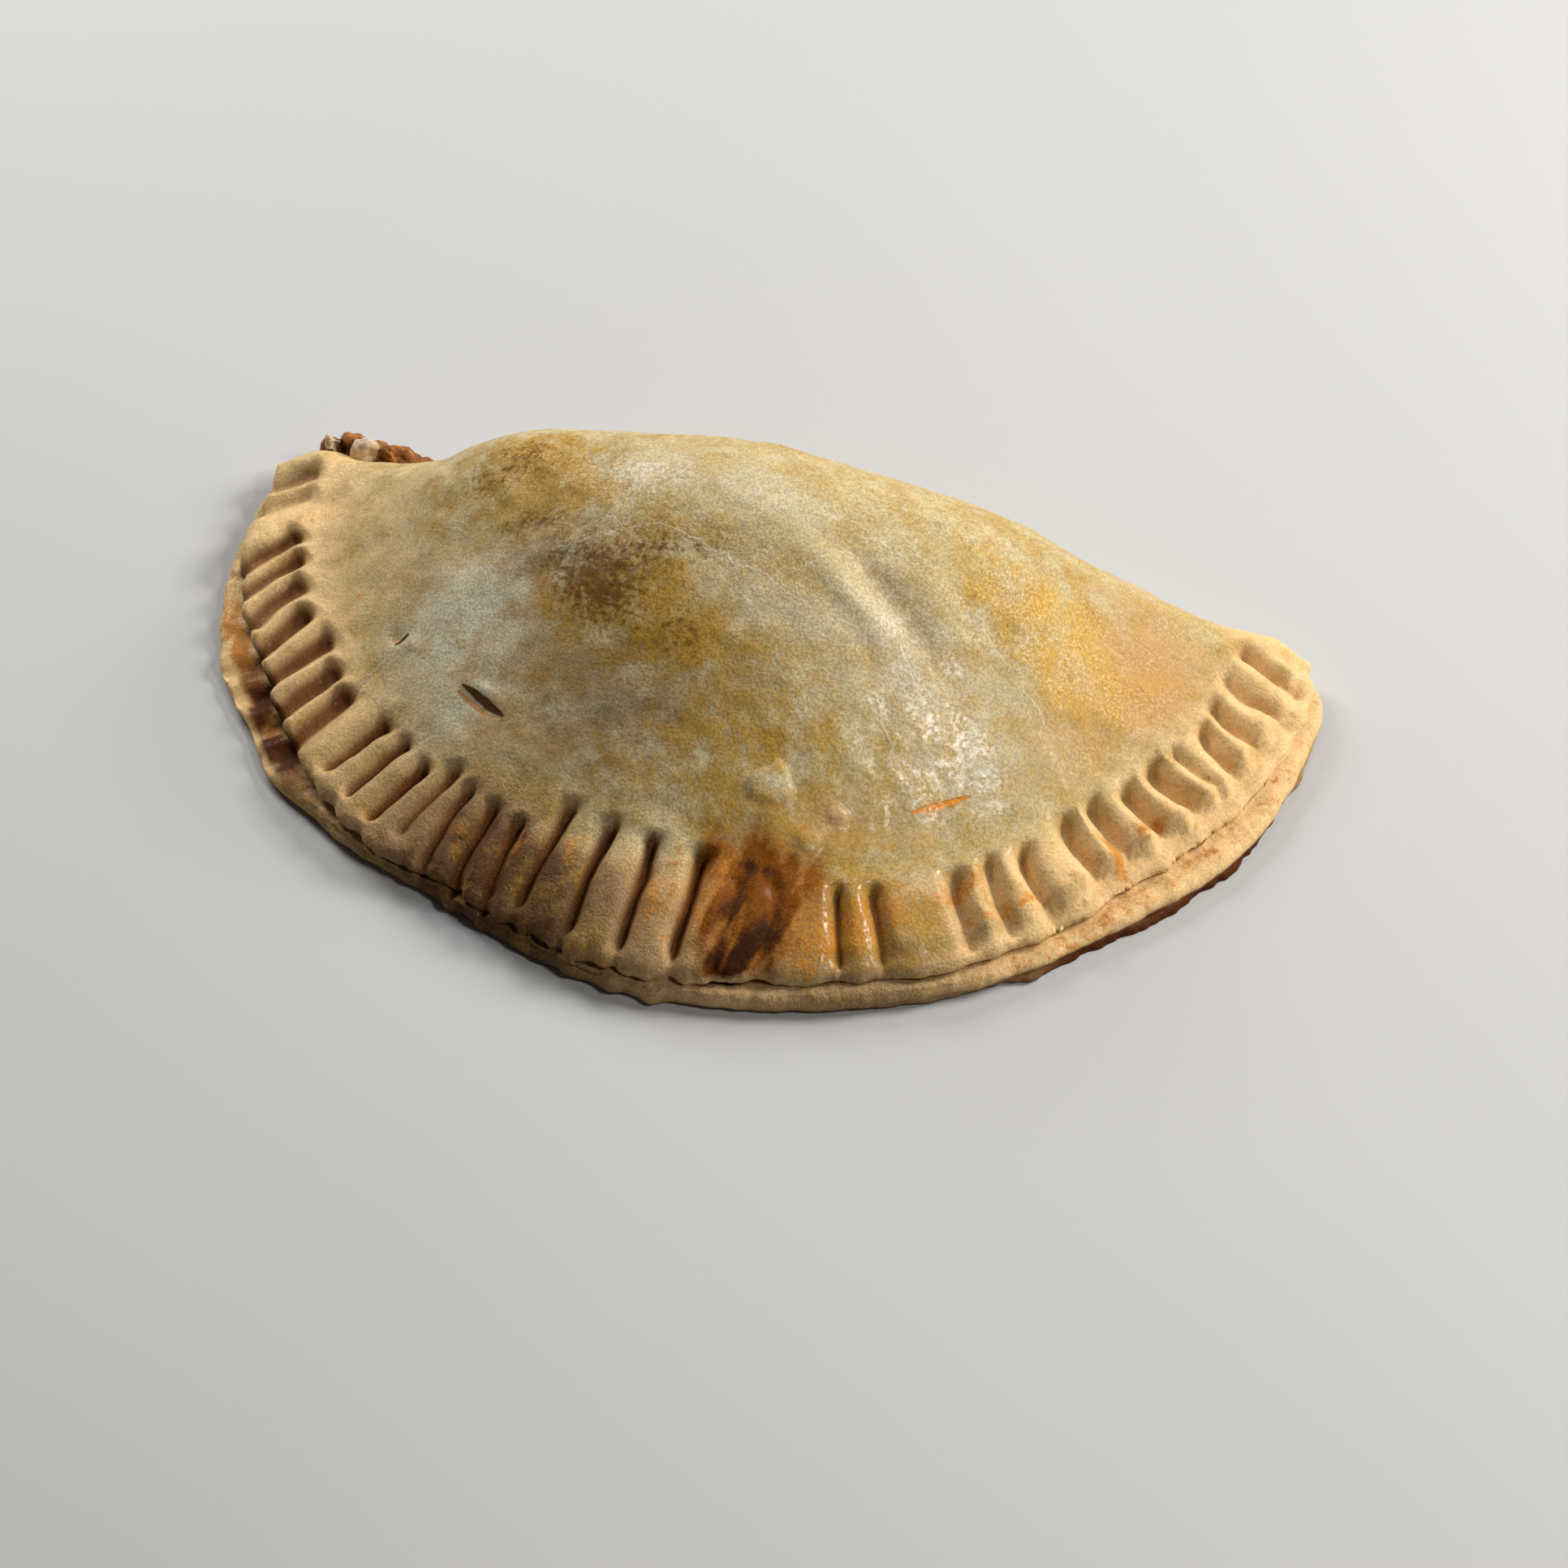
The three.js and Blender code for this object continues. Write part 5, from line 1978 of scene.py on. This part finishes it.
    def gloss(self, bench: Bench, shared: CrustSockets) -> tuple[Socket, Socket]:
        """Patchy glaze, broken into beads and dimmed by the burn, and fine glints beside it.

        Args:
            bench: what the finish is drawn with.
            shared: the shared sockets.

        Returns:
            The roughness and the weight of the coat.
        """
        sketch = bench.sketch
        beads = sketch.span(shared.dew.outputs["Shade"], *self.beads)
        gloss = sketch.times(sketch.mask(Mask.GLOSS), beads)
        dim = sketch.times(shared.burnt, self.dim_by_burn)
        dim = sketch.more(dim, sketch.mask(Mask.CHAR), self.dim_by_char)
        gloss = sketch.times(gloss, sketch.less(1.0, dim, clamp=True))
        dull = sketch.less(1.0, sketch.most(sketch.mask(Mask.SCORCH), shared.burnt), clamp=True)
        glints = sketch.times(sketch.span(shared.grain.outputs["Shade"], *self.glints), dull)
        roughness = sketch.span(gloss, 0.0, 1.0, *self.roughness)
        return roughness, sketch.more(glints, gloss, self.coat, clamp=True)

    def height(self, bench: Bench, shared: CrustSockets) -> Socket:
        """Fine relief of the skin.

        Args:
            bench: what the finish is drawn with.
            shared: the shared sockets.

        Returns:
            The height in metres.
        """
        sketch = bench.sketch
        fine = sketch.times(shared.grain.outputs["Height"], self.grain_height)
        fine = sketch.more(fine, shared.specked, self.speck_height)
        coarser = sketch.more(1.0, sketch.mask(Mask.TOAST), self.toast_and_shade_grain)
        coarser = sketch.more(coarser, sketch.mask(Mask.GLOSS), self.gloss_grain)
        wrinkles = sketch.more(shared.dew.outputs["Height"], shared.specked, self.wrinkle_share)
        wrinkles = sketch.times(wrinkles, sketch.mask(Mask.GLOSS))
        height = sketch.times(fine, coarser)
        rises = (
            (shared.spotty, self.spot_height), (wrinkles, self.wrinkle_height),
            (shared.cracks, self.crack_height), (shared.slits, self.slit_height),
            (shared.glazed, self.glazed_height),
        )
        for form, rise in rises:
            height = sketch.more(height, form, rise)
        return height

    def material(self, effects: Effects) -> Material:
        """Builds the finish.

        Args:
            effects: the shared node groups.

        Returns:
            The material.
        """
        made, sketch, shader = new_finish("baked crust")
        bench = Bench(sketch, effects, sketch.position())
        shared = self.sockets(bench)
        colour = self.scored(bench, shared, self.baked(bench, shared))
        roughness, coat = self.gloss(bench, shared)
        sketch.fill(
            shader, Base_Color=self.grained(bench, shared, colour), Roughness=roughness, Coat_Weight=coat,
            Coat_Roughness=self.coat_roughness, Specular_IOR_Level=self.specular,
            Normal=sketch.bump(self.height(bench, shared)),
        )
        return made


@dataclass(frozen=True)
class Lump:
    """One lump of filling at the burst: its middle, half sizes, tilt about the depth axis, and if pale."""

    middle: Triple
    half: Triple
    tilt: float
    pale: bool = False

    def placed(self) -> Matrix:
        """What carries a ball of radius 1 to the lump."""
        tilt = Matrix.Rotation(math.radians(self.tilt), 4, "Y")
        return Matrix.Translation(self.middle) @ tilt @ Matrix.Diagonal((*self.half, 1.0))

    def away(self, points: Array) -> Array:
        """Distance of each point from the middle, counted in half sizes."""
        return np.linalg.norm((points - np.array(self.middle)) / np.array(self.half), axis=1)


@dataclass
class Filling:
    """The cooked filling: lumps pushed out at the burst, and the core that runs through the crust."""

    bits: tuple[Lump, ...] = (
        Lump((-69.9, 2.2, 8.1), (1.0, 1.3, 2.5), -18, True), Lump((-67.2, 3.4, 7.9), (2.2, 1.4, 1.6), 10),
        Lump((-67.0, 2.6, 5.6), (3.2, 2.0, 2.0), 0), Lump((-64.5, 2.6, 7.9), (2.1, 1.7, 1.9), -15, True),
        Lump((-61.7, 2.9, 7.0), (2.2, 1.6, 2.2), 20), Lump((-63.6, 2.4, 4.8), (3.0, 2.0, 1.8), 0),
        Lump((-59.4, 3.3, 6.3), (2.8, 1.4, 1.5), 25), Lump((-59.6, 2.6, 4.0), (3.0, 1.8, 1.5), 0),
        Lump((-56.6, 3.4, 5.3), (3.2, 1.2, 1.0), 18),
    )
    ball_steps: int = 3
    voxel: float = 0.22
    crumple: float = 1.0
    strand_noise: Noise = Noise(21, 2.3, 4)
    strand_stretch: Triple = (0.7, 1.0, 1.2)

    def fused(self) -> tuple[Array, Array]:
        """Fuses the lumps into one skin.

        Returns:
            Points and triangles.
        """
        soft = bmesh.new()
        for bit in self.bits:
            bmesh.ops.create_icosphere(soft, subdivisions=self.ball_steps, radius=1.0, matrix=bit.placed())
        mesh = bpy.data.meshes.new("filling_rough")
        soft.to_mesh(mesh)
        soft.free()
        rough = add_object("filling_rough", mesh)
        remesh = rough.modifiers.new("fuse", "REMESH")
        remesh.mode = "VOXEL"
        remesh.voxel_size = self.voxel
        fused = bpy.data.meshes.new_from_object(rough.evaluated_get(bpy.context.evaluated_depsgraph_get()))
        bpy.data.objects.remove(rough)
        fused.calc_loop_triangles()
        points = np.empty(len(fused.vertices) * 3)
        fused.vertices.foreach_get("co", points)
        faces = np.empty(len(fused.loop_triangles) * 3, dtype=np.int64)
        fused.loop_triangles.foreach_get("vertices", faces)
        return points.reshape(-1, 3), faces.reshape(-1, 3)

    def lumps(self) -> Object:
        """Builds the lumps at the burst.

        Returns:
            The crumpled lumps, with a mask of their pale bits.
        """
        points, faces = self.fused()
        strands = self.strand_noise.at(points * np.array(self.strand_stretch))
        nearest = rows(*(bit.away(points) for bit in self.bits)).argmin(axis=1)
        pale = np.array([bit.pale for bit in self.bits])[nearest]
        moved = points + vertex_normals(points, faces) * (self.crumple * strands)[:, None]
        lumps = mesh_object("filling_lumps", moved, faces)
        add_mask(lumps, Mask.PALE_BIT, pale.astype(float))
        return lumps

    @staticmethod
    def core() -> Object:
        """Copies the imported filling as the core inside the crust."""
        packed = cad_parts[Part.FILLING.value]
        return add_object("filling_core", packed.data.copy())


@dataclass(frozen=True)
class FillingFinish:
    """Moist cooked filling: orange-brown sauce with dark hollows and a few pale bits."""

    sauce: Colour = (0.47, 0.175, 0.035)
    dark: Colour = (0.07, 0.02, 0.005)
    bits: Wash = Wash(Mask.PALE_BIT, (0.64, 0.48, 0.31), 0.45)
    cloud: Cloud = Cloud(1.8, 3.0, 0.68)
    grain: Grain = Grain(0.5)
    roughness: Point = (0.35, 0.55)
    specular: float = 0.2
    grain_height: float = 0.0001
    cloud_height: float = 0.0002

    def material(self, effects: Effects) -> Material:
        """Builds the finish.

        Args:
            effects: the shared node groups.

        Returns:
            The material.
        """
        made, sketch, shader = new_finish("cooked filling")
        bench = Bench(sketch, effects, sketch.position())
        cloud = self.cloud.value(bench)
        grain = self.grain.node(bench)
        colour = self.bits.over(bench, sketch.blend(cloud, self.dark, self.sauce), cloud)
        roughness = sketch.span(grain.outputs["Shade"], 0.0, 1.0, *self.roughness)
        height = sketch.times(grain.outputs["Height"], self.grain_height)
        height = sketch.more(height, cloud, self.cloud_height)
        sketch.fill(
            shader, Base_Color=colour, Roughness=roughness, Specular_IOR_Level=self.specular,
            Normal=sketch.bump(height),
        )
        return made


@dataclass(frozen=True)
class FloorFinish:
    """Plain pale floor with a faint cloud in it."""

    light: Colour = (0.50, 0.495, 0.485)
    shade: Colour = (0.47, 0.465, 0.455)
    cloud: Cloud = Cloud(200.0, 1.5, 0.5)
    roughness: float = 0.8

    def material(self, effects: Effects) -> Material:
        """Builds the finish.

        Args:
            effects: the shared node groups.

        Returns:
            The material.
        """
        made, sketch, shader = new_finish("pale floor")
        cloud = self.cloud.value(Bench(sketch, effects, sketch.position()))
        sketch.fill(shader, Base_Color=sketch.blend(cloud, self.shade, self.light), Roughness=self.roughness)
        return made


@dataclass(frozen=True)
class Lamp:
    """A soft square lamp aimed at the middle of the object."""

    name: str
    place: Triple
    side: float
    power: float
    colour: Colour = (1.0, 1.0, 1.0)

    def hang(self) -> None:
        """Hangs the lamp."""
        light = bpy.data.lights.new(self.name, "AREA")
        light.size = self.side
        light.energy = self.power
        light.color = self.colour
        lamp = add_object(self.name, light)
        lamp.location = self.place
        lamp.rotation_euler = (-Vector(self.place)).to_track_quat("-Z", "Y").to_euler()


@dataclass(frozen=True)
class Studio:
    """The pale floor, the soft lamps and the camera."""

    azimuth: float = 15.0
    elevation: float = 48.0
    distance: float = 0.690
    focal_pixels: float = 6000.0
    target: Triple = (0.008983, -0.001249, 0.0)
    sensor: float = 36.0
    floor_side: float = 3.0
    lamps: tuple[Lamp, ...] = (
        Lamp("key lamp", (0.54, 0.34, 0.44), 0.30, 6.6, (1.0, 0.98, 0.95)),
        Lamp("glaze lamp", (0.46, -0.16, 0.61), 0.12, 1.5, (1.0, 0.99, 0.97)),
        Lamp("back lamp", (-0.08, 0.36, 0.68), 0.22, 0.48),
        Lamp("side lamp", (-0.46, 0.42, 0.40), 0.32, 3.9),
    )
    sky: Colour = (1.0, 1.0, 1.0)
    sky_strength: float = 0.04

    def floor(self, effects: Effects) -> None:
        """Lays the floor under the object.

        Args:
            effects: the shared node groups.
        """
        half = self.floor_side / 2
        mesh = bpy.data.meshes.new("floor")
        corners = [(-half, -half, 0), (half, -half, 0), (half, half, 0), (-half, half, 0)]
        mesh.from_pydata(corners, [], [(0, 1, 2, 3)])
        floor = add_object("floor", mesh)
        mesh.materials.append(FloorFinish().material(effects))

    def light(self) -> None:
        """Hangs the lamps and sets a faint even sky."""
        for lamp in self.lamps:
            lamp.hang()
        world = bpy.data.worlds.new("sky")
        world.use_nodes = True
        back = world.node_tree.nodes["Background"]
        back.inputs["Color"].default_value = (*self.sky, 1.0)
        back.inputs["Strength"].default_value = self.sky_strength
        bpy.context.scene.world = world

    def camera(self) -> None:
        """Sets the camera at the viewing angle of the photograph."""
        lens = bpy.data.cameras.new("camera")
        lens.sensor_width = self.sensor
        lens.lens = self.focal_pixels / PHOTO_SIDE * self.sensor
        a, e = math.radians(self.azimuth), math.radians(self.elevation)
        back = Vector((math.sin(a) * math.cos(e), -math.cos(a) * math.cos(e), math.sin(e)))
        camera = add_object("camera", lens)
        camera.location = Vector(self.target) + back * self.distance
        camera.rotation_euler = (-back).to_track_quat("-Z", "Y").to_euler()
        bpy.context.scene.camera = camera


def settle(piece: Object, part: Part, finish: Material) -> None:
    """Gives a piece its finish and its place in the frame.

    Args:
        piece: the piece.
        part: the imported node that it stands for.
        finish: its material.
    """
    piece.data.materials.clear()
    piece.data.materials.append(finish)
    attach(piece, "root")
    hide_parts(part.value)
    LOG.info("%s: %d vertices for %s", piece.name, len(piece.data.vertices), part.value)


def main() -> None:
    """Builds the crust, the filling and the studio, and logs the vertex count of each piece."""
    logging.basicConfig(level=logging.INFO, format="%(name)s: %(message)s")
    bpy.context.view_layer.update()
    effects = Effects()
    settle(Crust(DoughForm(), Baking()).build(), Part.PASTRY, CrustFinish().material(effects))
    filling = Filling()
    finish = FillingFinish().material(effects)
    settle(filling.lumps(), Part.FILLING, finish)
    settle(filling.core(), Part.FILLING, finish)
    studio = Studio()
    studio.floor(effects)
    studio.light()
    studio.camera()
    bpy.context.scene.view_settings.view_transform = "Standard"


if __name__ == "__main__":
    main()
